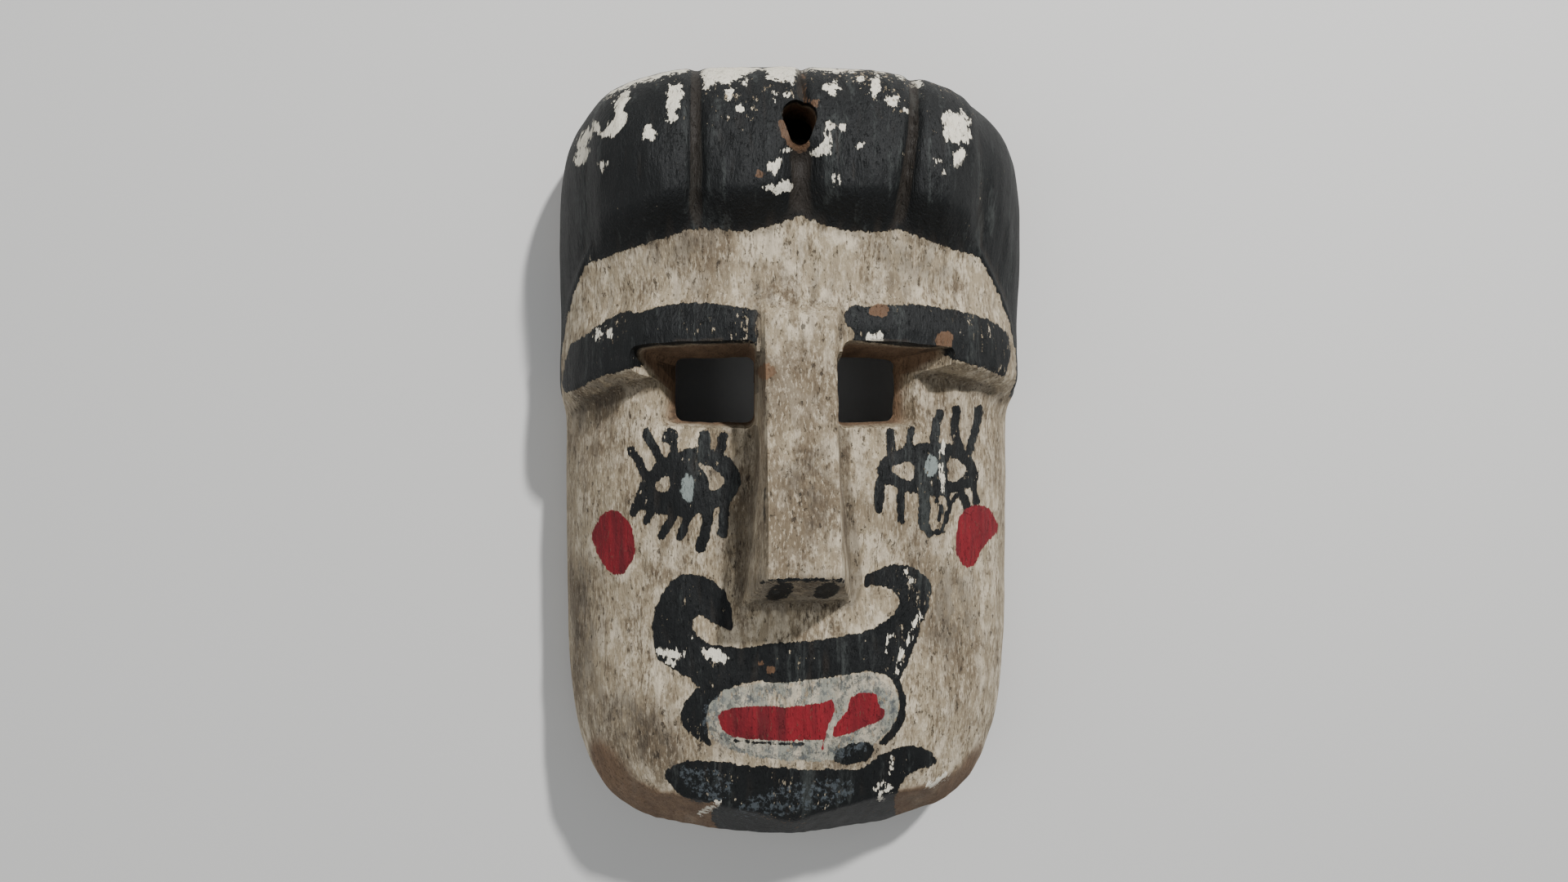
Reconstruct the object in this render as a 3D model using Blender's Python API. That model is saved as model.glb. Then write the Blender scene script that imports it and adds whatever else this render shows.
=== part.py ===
"""A carved wooden face mask, hollowed from behind, lying face up on its flat back rim.

The frame is the mask's own: +X is the viewer's right, +Y runs up the face to the hair,
+Z comes out of the face. The rim rests on z = 0 and the middle of its box is at x = y = 0.
The mask is one block of wood, so it is one solid: hair, brow, nose and chin are carved in
it, and the eye holes, the hollow and the hole for hanging are cut from it.
"""
import bpy
import numpy as np

MM = 0.001

# Overall sizes of the block
MASK_WIDTH = 159 * MM
MASK_HEIGHT = 250 * MM
LEFT_CHEEK_INSET = 1.5 * MM
RIGHT_CHEEK_INSET = 3.8 * MM
CHEEK_STEP_Y = 20 * MM
CHEEK_STEP_SOFTNESS = 7 * MM

# Where the face's own middle lies in the block; the places below are measured from it
FACE_X = -1.5 * MM
FACE_Y = 1.8 * MM
FACE_HALF_WIDTH = 77 * MM
CROWN_Y = 122 * MM

# How square the outline is: powers across and along, for each corner of it
TOP_LEFT_POWER = 3.7
TOP_RIGHT_POWER = 2.8
BOTTOM_LEFT_POWER = 3.5
BOTTOM_RIGHT_POWER = 2.9
TOP_ARCH_POWER = 8.0
CHIN_ARCH_POWER = 6.0
POWER_BLEND_SHARE = 0.4

# How round the front is towards the sides and the ends, and how steep at the rim
SIDE_ROUNDING = 0.85
END_ROUNDING = 2.6
FRONT_ROUNDING = 2.2

# Heights of the face above the rim, along its middle
HAIR_TOP_HEIGHT = 61 * MM
HAIR_BASE_HEIGHT = 69 * MM
FOREHEAD_HEIGHT = 68.5 * MM
BROW_RISE = 4.5 * MM
SOCKET_HEIGHT = 57 * MM
CHEEK_HEIGHT = 62 * MM
MOUTH_HEIGHT = 63 * MM
CHIN_HEIGHT = 60 * MM

# Places of those heights along Y
HAIR_BASE_Y = 84 * MM
FOREHEAD_Y = 58 * MM
SOCKET_Y = 24 * MM
CHEEK_Y = -12 * MM
MOUTH_Y = -72 * MM
CHIN_Y = -104 * MM

# Brow, a raised band across the face whose lower edge overhangs the eye holes
BROW_LOW_Y = 32.5 * MM
BROW_LOW_LEFT_DROP = 12 * MM
BROW_LOW_RIGHT_DROP = 7 * MM
BROW_LOW_BEND = 2.2
BROW_TOP_Y = 46 * MM
BROW_TOP_LEFT_DROP = 11 * MM
BROW_TOP_RIGHT_DROP = 8 * MM
BROW_TOP_BEND = 3.0
BROW_LEDGE = 4.0 * MM
BROW_LEDGE_SIDE_RUN = 7.0 * MM
BROW_TOP_SOFTNESS = 15 * MM

# Nose, a wedge with a flat front and a slanted underside
NOSE_X = -0.3 * MM
NOSE_ROOT_Y = 43 * MM
NOSE_ROOT_HEIGHT = 73.5 * MM
NOSE_ROOT_FALL = 1.3
NOSE_TIP_Y = -31 * MM
NOSE_TIP_HEIGHT = 92 * MM
NOSE_FOOT_Y = -43 * MM
NOSE_FRONT_HALF_WIDTH = 10.6 * MM
NOSE_EYE_HALF_WIDTH = 12.6 * MM
NOSE_FOOT_HALF_WIDTH = 17.5 * MM
NOSE_EDGE_ROUND = 3.2 * MM

# Hair: a cap of lobes with a scalloped lower edge, parted by grooves
HAIR_LINE_Y = 71.5 * MM
HAIR_LINE_DROP = 17 * MM
HAIR_LINE_BEND = 1.7
HAIR_LOBE_SCALLOP = 3.2 * MM
OUTER_LOBE_SHARE = 0.3
HAIR_RISE = 7.5 * MM
HAIR_EDGE_START = 2 * MM
HAIR_EDGE_RUN = 12 * MM
HAIR_RIM_FADE = 0.35
HAIR_LOBE_BULGE = 3.0 * MM
HAIR_LOBE_TOP_Y = 96 * MM
HAIR_LOBE_FADE_RUN = 25 * MM
GROOVE_LEFT_X = -30 * MM
GROOVE_RIGHT_X = 29 * MM
GROOVE_RIGHT_LEAN = 7 * MM
GROOVE_DEPTH = 3.0 * MM
GROOVE_HALF_WIDTH = 2.1 * MM
PARTING_DEPTH = 4.2 * MM
PARTING_HALF_WIDTH = 4.2 * MM
PARTING_FADE_RUN = 8 * MM
CRACK_X = 1.0 * MM
CRACK_DEPTH = 3.0 * MM
CRACK_HALF_WIDTH = 1.5 * MM
CRACK_SWAY = 0.6 * MM
CRACK_SWAY_LENGTH = 3.0 * MM
CRACK_END_RUN = 3.0 * MM

# Temples: where the face stands proud of the hair at the sides
LEFT_TEMPLE_X = 75 * MM
LEFT_TEMPLE_LEAN = 15 * MM
RIGHT_TEMPLE_X = 73 * MM
RIGHT_TEMPLE_LEAN = 20 * MM
TEMPLE_LOW_Y = 26 * MM
TEMPLE_TOP_Y = 65 * MM
TEMPLE_EDGE_RUN = 3 * MM
TEMPLE_BLEND_IN = 2 * MM
TEMPLE_BLEND_OUT = 4 * MM
SIDE_HAIR_SINK = 4.0 * MM
SIDE_HAIR_RISE = 4.5 * MM
SIDE_HAIR_TOP_Y = 104 * MM
SIDEBURN_END_Y = 19 * MM
SIDEBURN_END_RUN = 4 * MM

# Flat cuts that bevel the jaw: the way that each faces in degrees, and its plane
JAW_CUT_DIRECTIONS = (-152, -127, -104, -76, -53, -30)
JAW_CUT_EDGE_HEIGHT = 25 * MM
JAW_CUT_SLOPE = 1.5
JAW_CUT_SOFTNESS = 1.2 * MM
JAW_EDGE_STEPS = 180
ABOVE_ALL_HEIGHT = 1.0

# Hollow back
SIDE_WALL = 9.5 * MM
TOP_WALL = 13.5 * MM
CHIN_WALL = 12.5 * MM
HOLLOW_DEPTH = 50 * MM
HOLLOW_HAIR_DEPTH = 58 * MM
CUT_OVERLAP = 5 * MM

# Eye holes, splayed outwards to the front; their inner walls run down from the nose
EYE_LOW_Y = 11.8 * MM
EYE_TOP_Y = 30.4 * MM
EYE_BACK_OUTER_X = 23.4 * MM
LEFT_EYE_EXTRA = 0.6 * MM
RIGHT_EYE_EXTRA = -5.6 * MM
LEFT_EYE_SPLAY = 8.5 * MM
RIGHT_EYE_SPLAY = 11.5 * MM
EYE_SILL_FALL = 2.0 * MM
EYE_HEAD_RISE = 2.2 * MM
EYE_CORNER_ROUND = 2.5 * MM
EYE_BACK_Z = 46 * MM
EYE_FRONT_Z = 58 * MM
EYE_CUT_LOW_Z = 20 * MM
EYE_CUT_HIGH_Z = 84 * MM

# Hole for hanging, worn to a drop shape by its cord
CORD_HOLE_X = -0.4 * MM
CORD_HOLE_Y = 99.3 * MM
CORD_HOLE_RADIUS = 4.9 * MM
CORD_WEAR_DROP = 5.6 * MM
CORD_WEAR_RADIUS = 3.0 * MM
CORD_HOLE_OPEN_ANGLE = 15
CORD_HOLE_LOW_Z = 20 * MM
CORD_HOLE_HIGH_Z = 90 * MM

# Fineness of the carved surface and of the finished solid
FRONT_COLUMNS = 132
FRONT_ROWS = 196
HOLLOW_COLUMNS = 36
HOLLOW_ROWS = 50
EDGE_CROWDING = 1.6
CORNER_STEPS = 5
CORD_HOLE_STEPS = 12
KEPT_SHARE = 0.17

WOOD_COLOR = (0.44, 0.38, 0.29, 1.0)
WOOD_ROUGHNESS = 0.7


def smooth_step(low, high, value):
    """Rise smoothly from 0 at low to 1 at high."""
    share = np.clip((value - low) / (high - low), 0.0, 1.0)
    return share * share * (3.0 - 2.0 * share)


def mix(first, second, share):
    """Go from first to second by share."""
    return first + (second - first) * share


def soft_least(first, second, softness):
    """The lesser of two heights, rounded where they meet."""
    share = np.clip(0.5 + 0.5 * (second - first) / softness, 0.0, 1.0)
    return mix(second, first, share) - softness * share * (1.0 - share)


def soft_most(first, second, softness):
    """The greater of two heights, rounded where they meet."""
    return -soft_least(-first, -second, softness)


class Outline:
    """The closed outline of the mask, or of its hollow, as seen from the front."""

    def __init__(self, side_wall=0.0, top_wall=0.0, chin_wall=0.0):
        self.side = MASK_WIDTH / 2 - side_wall
        self.top = MASK_HEIGHT / 2 - top_wall
        self.chin = MASK_HEIGHT / 2 - chin_wall

    def half_width(self, x, y):
        """Half the width at y, on the side that x is on."""
        inset = np.where(x < 0, LEFT_CHEEK_INSET, RIGHT_CHEEK_INSET)
        low = CHEEK_STEP_Y - CHEEK_STEP_SOFTNESS
        high = CHEEK_STEP_Y + CHEEK_STEP_SOFTNESS
        return self.side - inset * (1.0 - smooth_step(low, high, y))

    def half_height(self, y):
        """Half the height, on the end that y is on."""
        return np.where(y < 0, self.chin, self.top)

    def powers(self, x, y):
        """Powers across and along, blended between the corners."""
        to_top = smooth_step(-POWER_BLEND_SHARE * self.chin, POWER_BLEND_SHARE * self.top, y)
        to_right = smooth_step(-POWER_BLEND_SHARE * self.side, POWER_BLEND_SHARE * self.side, x)
        top_power = mix(TOP_LEFT_POWER, TOP_RIGHT_POWER, to_right)
        bottom_power = mix(BOTTOM_LEFT_POWER, BOTTOM_RIGHT_POWER, to_right)
        return mix(bottom_power, top_power, to_top), mix(CHIN_ARCH_POWER, TOP_ARCH_POWER, to_top)

    def fullness(self, x, y):
        """1 in the middle, falling to 0 at the outline as a rounded block does."""
        across, along = self.powers(x, y)
        sideways = np.abs(x / self.half_width(x, y)) ** across
        endways = np.abs(y / self.half_height(y)) ** along
        reach = sideways + endways
        rounding = mix(SIDE_ROUNDING, END_ROUNDING, endways / (reach + 1e-9))
        return np.clip(1.0 - reach ** rounding, 0.0, 1.0) ** (1.0 / FRONT_ROUNDING)

    def side_point(self, right, share):
        """A point on the left or right side; share runs from -1 at the chin to 1 at the top."""
        chin_corner = self.chin * 0.5 ** (1 / CHIN_ARCH_POWER)
        top_corner = self.top * 0.5 ** (1 / TOP_ARCH_POWER)
        y = share * np.where(share < 0, chin_corner, top_corner)
        sign = 1.0 if right else -1.0
        across, along = self.powers(sign * self.side, y)
        left_over = 1.0 - np.abs(y / self.half_height(y)) ** along
        return sign * self.half_width(sign, y) * left_over ** (1.0 / across), y

    def end_point(self, top, share):
        """A point on the top or the chin; share runs from -1 at the left to 1 at the right."""
        corner_left, end_y = self.side_point(False, np.array(1.0 if top else -1.0))
        corner_right, end_y_right = self.side_point(True, np.array(1.0 if top else -1.0))
        x = mix(corner_left, corner_right, (share + 1.0) / 2.0)
        sign = 1.0 if top else -1.0
        reach_y = self.top if top else self.chin
        across, along = self.powers(x, sign * reach_y)
        left_over = 1.0 - np.abs(x / self.half_width(x, sign * reach_y)) ** across
        y = sign * reach_y * left_over ** (1.0 / along)
        # Both ends of this edge meet the sides exactly
        miss_left = end_y - y[0]
        miss_right = end_y_right - y[-1]
        return x, y + mix(miss_left, miss_right, (share + 1.0) / 2.0)

    def grid(self, columns, rows):
        """Points inside the outline in rows and columns that crowd towards its edge."""
        u = crowded(columns)
        v = crowded(rows)
        left_x, left_y = self.side_point(False, v)
        right_x, right_y = self.side_point(True, v)
        low_x, low_y = self.end_point(False, u)
        high_x, high_y = self.end_point(True, u)
        across = ((u + 1.0) / 2.0)[None, :]
        along = ((v + 1.0) / 2.0)[:, None]

        def fill(left, right, low, high):
            """Blend the four edges over the inside."""
            sides = mix(left[:, None], right[:, None], across)
            ends = mix(low[None, :], high[None, :], along)
            corners = mix(mix(low[0], low[-1], across), mix(high[0], high[-1], across), along)
            return sides + ends - corners

        return fill(left_x, right_x, low_x, high_x), fill(left_y, right_y, low_y, high_y)


def crowded(steps):
    """Numbers from -1 to 1 that lie closer together towards both ends."""
    even = np.linspace(-1.0, 1.0, steps + 1)
    return np.sign(even) * (1.0 - (1.0 - np.abs(even)) ** EDGE_CROWDING)


def stations(y, places):
    """Height at y, eased between stations given as (y, height) from the chin up."""
    height = np.full_like(y, places[0][1])
    for (low_y, low), (high_y, high) in zip(places, places[1:]):
        height = np.where(y > low_y, mix(low, high, smooth_step(low_y, high_y, y)), height)
    return height


def side_drop(x, left_drop, right_drop, power):
    """How far an edge that bends down to both sides has dropped at x."""
    drop = np.where(x < 0, left_drop, right_drop)
    return drop * np.abs(x / FACE_HALF_WIDTH) ** power


def brow_low_edge(x):
    """Y of the brow's lower edge."""
    return BROW_LOW_Y - side_drop(x, BROW_LOW_LEFT_DROP, BROW_LOW_RIGHT_DROP, BROW_LOW_BEND)


def brow_top_edge(x):
    """Y of the brow's upper edge."""
    return BROW_TOP_Y - side_drop(x, BROW_TOP_LEFT_DROP, BROW_TOP_RIGHT_DROP, BROW_TOP_BEND)


def right_groove(y):
    """X of the groove on the right of the hair, which leans out upwards."""
    return GROOVE_RIGHT_X + GROOVE_RIGHT_LEAN * (y - HAIR_LINE_Y) / (CROWN_Y - HAIR_LINE_Y)


def temple_edge(x, y):
    """How far out the face's edge lies against the side hair."""
    low_x = np.where(x < 0, LEFT_TEMPLE_X, RIGHT_TEMPLE_X)
    lean = np.where(x < 0, LEFT_TEMPLE_LEAN, RIGHT_TEMPLE_LEAN)
    rise = np.clip((y - TEMPLE_LOW_Y) / (TEMPLE_TOP_Y - TEMPLE_LOW_Y), 0.0, 1.0)
    return low_x - lean * rise ** 2


def lobe_share(x, y):
    """Share of the way across the lobe of hair that x lies in."""
    right = right_groove(y)
    edge = temple_edge(x, y)
    share = np.where(x < GROOVE_LEFT_X, (GROOVE_LEFT_X - x) / (edge + GROOVE_LEFT_X), x / GROOVE_LEFT_X)
    share = np.where(x > 0, x / right, share)
    share = np.where(x > right, (x - right) / (edge - right), share)
    return np.clip(share, 0.0, 1.0)


def hair_line(x):
    """Y of the hair's scalloped lower edge."""
    arch = side_drop(x, HAIR_LINE_DROP, HAIR_LINE_DROP, HAIR_LINE_BEND)
    share = lobe_share(x, np.full_like(x, HAIR_LINE_Y))
    inner = (x > GROOVE_LEFT_X) & (x < GROOVE_RIGHT_X)
    scallop = HAIR_LOBE_SCALLOP * np.where(inner, 1.0, OUTER_LOBE_SHARE)
    return HAIR_LINE_Y - arch - scallop * np.sin(np.pi * share)


def hair_rise(x, y):
    """Height of the hair over the block, with its lobes, parting and grooves."""
    out = np.abs(x) - temple_edge(x, y)
    beside = smooth_step(-TEMPLE_BLEND_IN, TEMPLE_BLEND_OUT, out)
    lobe_fade = 1.0 - smooth_step(HAIR_LOBE_TOP_Y - HAIR_LOBE_FADE_RUN, HAIR_LOBE_TOP_Y, y)
    share = lobe_share(x, y)
    bulge = HAIR_LOBE_BULGE * (4 * share * (1 - share) - 0.5) * lobe_fade
    front = HAIR_RISE + bulge
    parting_end = CORD_HOLE_Y - CORD_WEAR_DROP
    parting = np.exp(-((x - NOSE_X) / PARTING_HALF_WIDTH) ** 2)
    parting = parting * (1.0 - smooth_step(parting_end - PARTING_FADE_RUN, parting_end, y))
    front = front - PARTING_DEPTH * parting
    for groove_x in (GROOVE_LEFT_X, right_groove(y)):
        front = front - GROOVE_DEPTH * np.exp(-((x - groove_x) / GROOVE_HALF_WIDTH) ** 2)
    crack_x = CRACK_X + CRACK_SWAY * np.sin(y / CRACK_SWAY_LENGTH)
    crack = np.exp(-((x - crack_x) / CRACK_HALF_WIDTH) ** 2)
    crack = crack * smooth_step(CORD_HOLE_Y, CORD_HOLE_Y + CRACK_END_RUN, y)
    front = front - CRACK_DEPTH * crack
    side = mix(-SIDE_HAIR_SINK, SIDE_HAIR_RISE, smooth_step(TEMPLE_LOW_Y, SIDE_HAIR_TOP_Y, y))
    return mix(front, side, beside)


def hair_cover(x, y):
    """1 where hair covers the block, swelling up from its lower edge and its sides."""
    over_line = smooth_step(-HAIR_EDGE_START, HAIR_EDGE_RUN, y - hair_line(x))
    beside = smooth_step(0.0, TEMPLE_EDGE_RUN, np.abs(x) - temple_edge(x, y))
    above_end = smooth_step(0.0, SIDEBURN_END_RUN, y - SIDEBURN_END_Y)
    return np.maximum(over_line, np.minimum(beside, above_end))


def nose_height(x, y):
    """Height of the nose's wedge at any point; far below the face away from it."""
    down = np.clip((NOSE_ROOT_Y - y) / (NOSE_ROOT_Y - NOSE_TIP_Y), 0.0, 1.0)
    ridge = mix(NOSE_ROOT_HEIGHT, NOSE_TIP_HEIGHT, down)
    widening = smooth_step(EYE_LOW_Y, NOSE_FOOT_Y, y)
    foot_half = mix(NOSE_EYE_HALF_WIDTH, NOSE_FOOT_HALF_WIDTH, widening)
    side_run = foot_half - NOSE_FRONT_HALF_WIDTH
    side_slope = (ridge - SOCKET_HEIGHT) / side_run
    side_plane = ridge - side_slope * (np.abs(x - NOSE_X) - NOSE_FRONT_HALF_WIDTH)
    under_slope = (NOSE_TIP_HEIGHT - CHEEK_HEIGHT) / (NOSE_TIP_Y - NOSE_FOOT_Y)
    under_plane = NOSE_TIP_HEIGHT - under_slope * (NOSE_TIP_Y - y)
    height = soft_least(ridge, side_plane, NOSE_EDGE_ROUND)
    height = height - NOSE_ROOT_FALL * np.maximum(0.0, y - NOSE_ROOT_Y)
    return soft_least(height, under_plane, NOSE_EDGE_ROUND)


def jaw_cut_height(x, y, outline):
    """Height that the flat cuts along the jaw leave."""
    angle = np.linspace(-np.pi, 0.0, JAW_EDGE_STEPS + 1)
    power = np.where(np.cos(angle) < 0, BOTTOM_LEFT_POWER, BOTTOM_RIGHT_POWER)
    reach_y = -outline.chin * np.abs(np.sin(angle)) ** (2 / CHIN_ARCH_POWER)
    reach_x = np.abs(np.cos(angle)) ** (2 / power) * np.sign(np.cos(angle))
    reach_x = reach_x * outline.half_width(np.cos(angle), reach_y)
    height = np.full_like(x, ABOVE_ALL_HEIGHT)
    for degrees in JAW_CUT_DIRECTIONS:
        along_x = np.cos(np.radians(degrees))
        along_y = np.sin(np.radians(degrees))
        edge = np.max(reach_x * along_x + reach_y * along_y)
        inward = edge - (x * along_x + y * along_y)
        plane = JAW_CUT_EDGE_HEIGHT + JAW_CUT_SLOPE * inward
        height = soft_least(height, plane, JAW_CUT_SOFTNESS)
    return height


def front_height(x, y, outline):
    """Height of the carved front above the rim."""
    full = outline.fullness(x, y)
    jaw = jaw_cut_height(x, y, outline)
    x = x - FACE_X
    y = y - FACE_Y
    lower = stations(y, (
        (CHIN_Y, CHIN_HEIGHT),
        (MOUTH_Y, MOUTH_HEIGHT),
        (CHEEK_Y, CHEEK_HEIGHT),
        (SOCKET_Y, SOCKET_HEIGHT),
    ))
    upper = stations(y, (
        (FOREHEAD_Y, FOREHEAD_HEIGHT),
        (HAIR_BASE_Y, HAIR_BASE_HEIGHT),
        (CROWN_Y, HAIR_TOP_HEIGHT),
    ))
    low_edge = brow_low_edge(x)
    top_edge = brow_top_edge(x)
    in_brow = 1.0 - smooth_step(top_edge - BROW_TOP_SOFTNESS / 2, top_edge + BROW_TOP_SOFTNESS / 2, y)
    upper = upper + BROW_RISE * in_brow
    ledge = BROW_LEDGE + side_drop(x, BROW_LEDGE_SIDE_RUN, BROW_LEDGE_SIDE_RUN, 2)
    over_ledge = smooth_step(low_edge - ledge, low_edge, y)
    block = mix(lower, upper, over_ledge) * full
    height = soft_most(block, nose_height(x, y), NOSE_EDGE_ROUND)
    height = height + hair_rise(x, y) * hair_cover(x, y) * smooth_step(0.0, HAIR_RIM_FADE, full)
    return soft_least(height, jaw, JAW_CUT_SOFTNESS)


def hollow_height(x, y, outline):
    """Height of the hollow's roof above the rim."""
    under_hair = smooth_step(BROW_LOW_Y, HAIR_BASE_Y, y - FACE_Y)
    return mix(HOLLOW_DEPTH, HOLLOW_HAIR_DEPTH, under_hair) * outline.fullness(x, y)


def closed_block(name, outline, height_at, columns, rows, skirt):
    """A solid under a surface of heights, with a flat underside at -skirt."""
    x, y = outline.grid(columns, rows)
    z = height_at(x, y, outline)
    wide = columns + 1
    high = rows + 1
    order = np.arange(wide * high).reshape(high, wide)
    loop = list(order[0, :-1]) + list(order[:-1, -1]) + list(order[-1, :0:-1]) + list(order[:0:-1, 0])
    flat_z = z.ravel()
    flat_z[loop] = 0.0
    points = list(zip(x.ravel().tolist(), y.ravel().tolist(), flat_z.tolist()))
    faces = []
    for row in range(rows):
        for column in range(columns):
            corners = (order[row, column], order[row, column + 1])
            faces.append([int(i) for i in (*corners, order[row + 1, column + 1], order[row + 1, column])])
    base = [int(i) for i in loop]
    if skirt > 0.0:
        start = len(points)
        points.extend((points[i][0], points[i][1], -skirt) for i in base)
        count = len(base)
        for i in range(count):
            after = (i + 1) % count
            faces.append([base[after], base[i], start + i, start + after])
        base = [start + i for i in range(count)]
    faces.append(base[::-1])
    mesh = bpy.data.meshes.new(name)
    mesh.from_pydata(points, [], faces)
    mesh.validate()
    return add_object(name, mesh)


def lofted_block(name, loops):
    """A solid through loops of points on the face, all the same way round, lowest first."""
    count = len(loops[0])
    last = count * (len(loops) - 1)
    faces = [list(range(count))[::-1], list(range(last, last + count))]
    for base in range(0, last, count):
        for i in range(count):
            after = (i + 1) % count
            faces.append([base + i, base + after, base + count + after, base + count + i])
    points = [(x + FACE_X, y + FACE_Y, z) for loop in loops for x, y, z in loop]
    mesh = bpy.data.meshes.new(name)
    mesh.from_pydata(points, [], faces)
    return add_object(name, mesh)


def add_object(name, mesh):
    """Put a mesh in the scene under the mask's name for it."""
    built = bpy.data.objects.new(name, mesh)
    bpy.context.scene.collection.objects.link(built)
    return built


def rounded_rectangle(left, right, low, high, z):
    """Corner-rounded rectangle at height z, anticlockwise from its lower left."""
    loop = []
    centres = (
        (left + EYE_CORNER_ROUND, low + EYE_CORNER_ROUND, 180),
        (right - EYE_CORNER_ROUND, low + EYE_CORNER_ROUND, 270),
        (right - EYE_CORNER_ROUND, high - EYE_CORNER_ROUND, 0),
        (left + EYE_CORNER_ROUND, high - EYE_CORNER_ROUND, 90),
    )
    for centre_x, centre_y, start in centres:
        for step in range(CORNER_STEPS + 1):
            turn = np.radians(start + 90 * step / CORNER_STEPS)
            x = centre_x + EYE_CORNER_ROUND * np.cos(turn)
            y = centre_y + EYE_CORNER_ROUND * np.sin(turn)
            loop.append((float(x), float(y), z))
    return loop


def eye_cutter(name, right, extra, splay):
    """Cutter for one eye hole, wider at the front on its outer side, sill and head."""
    inner = NOSE_EYE_HALF_WIDTH
    outer_back = inner + EYE_BACK_OUTER_X + extra
    loops = []
    for z in (EYE_CUT_LOW_Z, EYE_BACK_Z, EYE_CUT_HIGH_Z):
        forward = max(0.0, (z - EYE_BACK_Z) / (EYE_FRONT_Z - EYE_BACK_Z))
        outer = outer_back + splay * forward
        low = EYE_LOW_Y - EYE_SILL_FALL * forward
        high = EYE_TOP_Y + EYE_HEAD_RISE * forward
        if right:
            loops.append(rounded_rectangle(NOSE_X + inner, NOSE_X + outer, low, high, z))
        else:
            loops.append(rounded_rectangle(NOSE_X - outer, NOSE_X - inner, low, high, z))
    return lofted_block(name, loops)


def cord_hole_cutter():
    """Cutter for the drop-shaped hole in the hair."""
    right_end = -CORD_HOLE_OPEN_ANGLE
    left_end = 180 + CORD_HOLE_OPEN_ANGLE
    loops = []
    for z in (CORD_HOLE_LOW_Z, CORD_HOLE_HIGH_Z):
        loop = []
        for step in range(CORD_HOLE_STEPS + 1):
            turn = np.radians(mix(right_end, left_end, step / CORD_HOLE_STEPS))
            x = CORD_HOLE_X + CORD_HOLE_RADIUS * np.cos(turn)
            loop.append((float(x), float(CORD_HOLE_Y + CORD_HOLE_RADIUS * np.sin(turn)), z))
        for step in range(CORNER_STEPS + 1):
            turn = np.radians(mix(left_end, right_end + 360, step / CORNER_STEPS))
            x = CORD_HOLE_X + CORD_WEAR_RADIUS * np.cos(turn)
            y = CORD_HOLE_Y - CORD_WEAR_DROP + CORD_WEAR_RADIUS * np.sin(turn)
            loop.append((float(x), float(y), z))
        loops.append(loop)
    return lofted_block("cord_hole_cutter", loops)


def cut(target, cutter):
    """Take the cutter's solid out of the target."""
    modifier = target.modifiers.new(cutter.name, "BOOLEAN")
    modifier.operation = "DIFFERENCE"
    modifier.solver = "EXACT"
    modifier.object = cutter
    cutter.hide_render = True
    cutter.display_type = "WIRE"


def wood_material():
    """Pale worn paint over wood, as one plain finish."""
    material = bpy.data.materials.new("painted_wood")
    material.use_nodes = True
    shader = material.node_tree.nodes["Principled BSDF"]
    shader.inputs["Base Color"].default_value = WOOD_COLOR
    shader.inputs["Roughness"].default_value = WOOD_ROUGHNESS
    shader.inputs["Metallic"].default_value = 0.0
    return material


def build_mask():
    """Carve the mask: block, hollow, eye holes, cord hole, then fewer and flatter faces."""
    mask = closed_block("mask", Outline(), front_height, FRONT_COLUMNS, FRONT_ROWS, 0.0)
    hollow = closed_block("hollow_cutter", Outline(SIDE_WALL, TOP_WALL, CHIN_WALL), hollow_height,
                          HOLLOW_COLUMNS, HOLLOW_ROWS, CUT_OVERLAP)
    cutters = (
        hollow,
        eye_cutter("left_eye_cutter", False, LEFT_EYE_EXTRA, LEFT_EYE_SPLAY),
        eye_cutter("right_eye_cutter", True, RIGHT_EYE_EXTRA, RIGHT_EYE_SPLAY),
        cord_hole_cutter(),
    )
    for cutter in cutters:
        cut(mask, cutter)
    thin = mask.modifiers.new("fewer_faces", "DECIMATE")
    thin.decimate_type = "COLLAPSE"
    thin.ratio = KEPT_SHARE
    thin.use_collapse_triangulate = True
    mask.data.materials.append(wood_material())
    return mask


def main():
    """Empty the scene and build the mask in it."""
    for old in list(bpy.data.objects):
        bpy.data.objects.remove(old, do_unlink=True)
    build_mask()


main()
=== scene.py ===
"""A carved and painted wooden face mask, lying face up on a pale floor.

The mask is one piece of wood. Its form follows the sizes of the CAD solid, cut finer and
with the tool marks, and its paint is laid on by outlines read from the photograph.
"""

import logging
import math
from collections.abc import Callable
from dataclasses import dataclass, field
from enum import Enum

import bpy
import numpy as np
from mathutils import Matrix, Vector


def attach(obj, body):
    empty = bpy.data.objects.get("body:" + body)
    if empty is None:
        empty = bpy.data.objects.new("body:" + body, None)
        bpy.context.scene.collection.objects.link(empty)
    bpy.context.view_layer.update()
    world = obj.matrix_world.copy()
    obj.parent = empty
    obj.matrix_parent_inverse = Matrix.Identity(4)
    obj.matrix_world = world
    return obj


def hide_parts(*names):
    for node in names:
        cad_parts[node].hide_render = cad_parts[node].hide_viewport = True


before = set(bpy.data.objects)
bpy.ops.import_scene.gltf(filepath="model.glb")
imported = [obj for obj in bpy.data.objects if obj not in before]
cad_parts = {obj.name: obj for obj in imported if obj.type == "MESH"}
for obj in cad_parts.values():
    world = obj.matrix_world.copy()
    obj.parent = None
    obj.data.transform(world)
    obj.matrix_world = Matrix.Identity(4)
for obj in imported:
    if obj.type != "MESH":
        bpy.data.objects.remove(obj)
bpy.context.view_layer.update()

LOG = logging.getLogger("mask")
MM = 0.001
Array = np.ndarray

# Where the face's own middle lies in the block
FACE_X = -1.5 * MM
FACE_Y = 1.8 * MM


def smooth_step(low: float, high: float, value: Array) -> Array:
    """Rise smoothly from 0 at low to 1 at high.

    Args:
        low: value where the rise starts.
        high: value where it ends.
        value: values to map.

    Returns:
        Shares from 0 to 1.
    """
    share = np.clip((value - low) / (high - low), 0.0, 1.0)
    return share * share * (3.0 - 2.0 * share)


def mix(first: Array, second: Array, share: Array) -> Array:
    """Go from first to second by share."""
    return first + (second - first) * share


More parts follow.
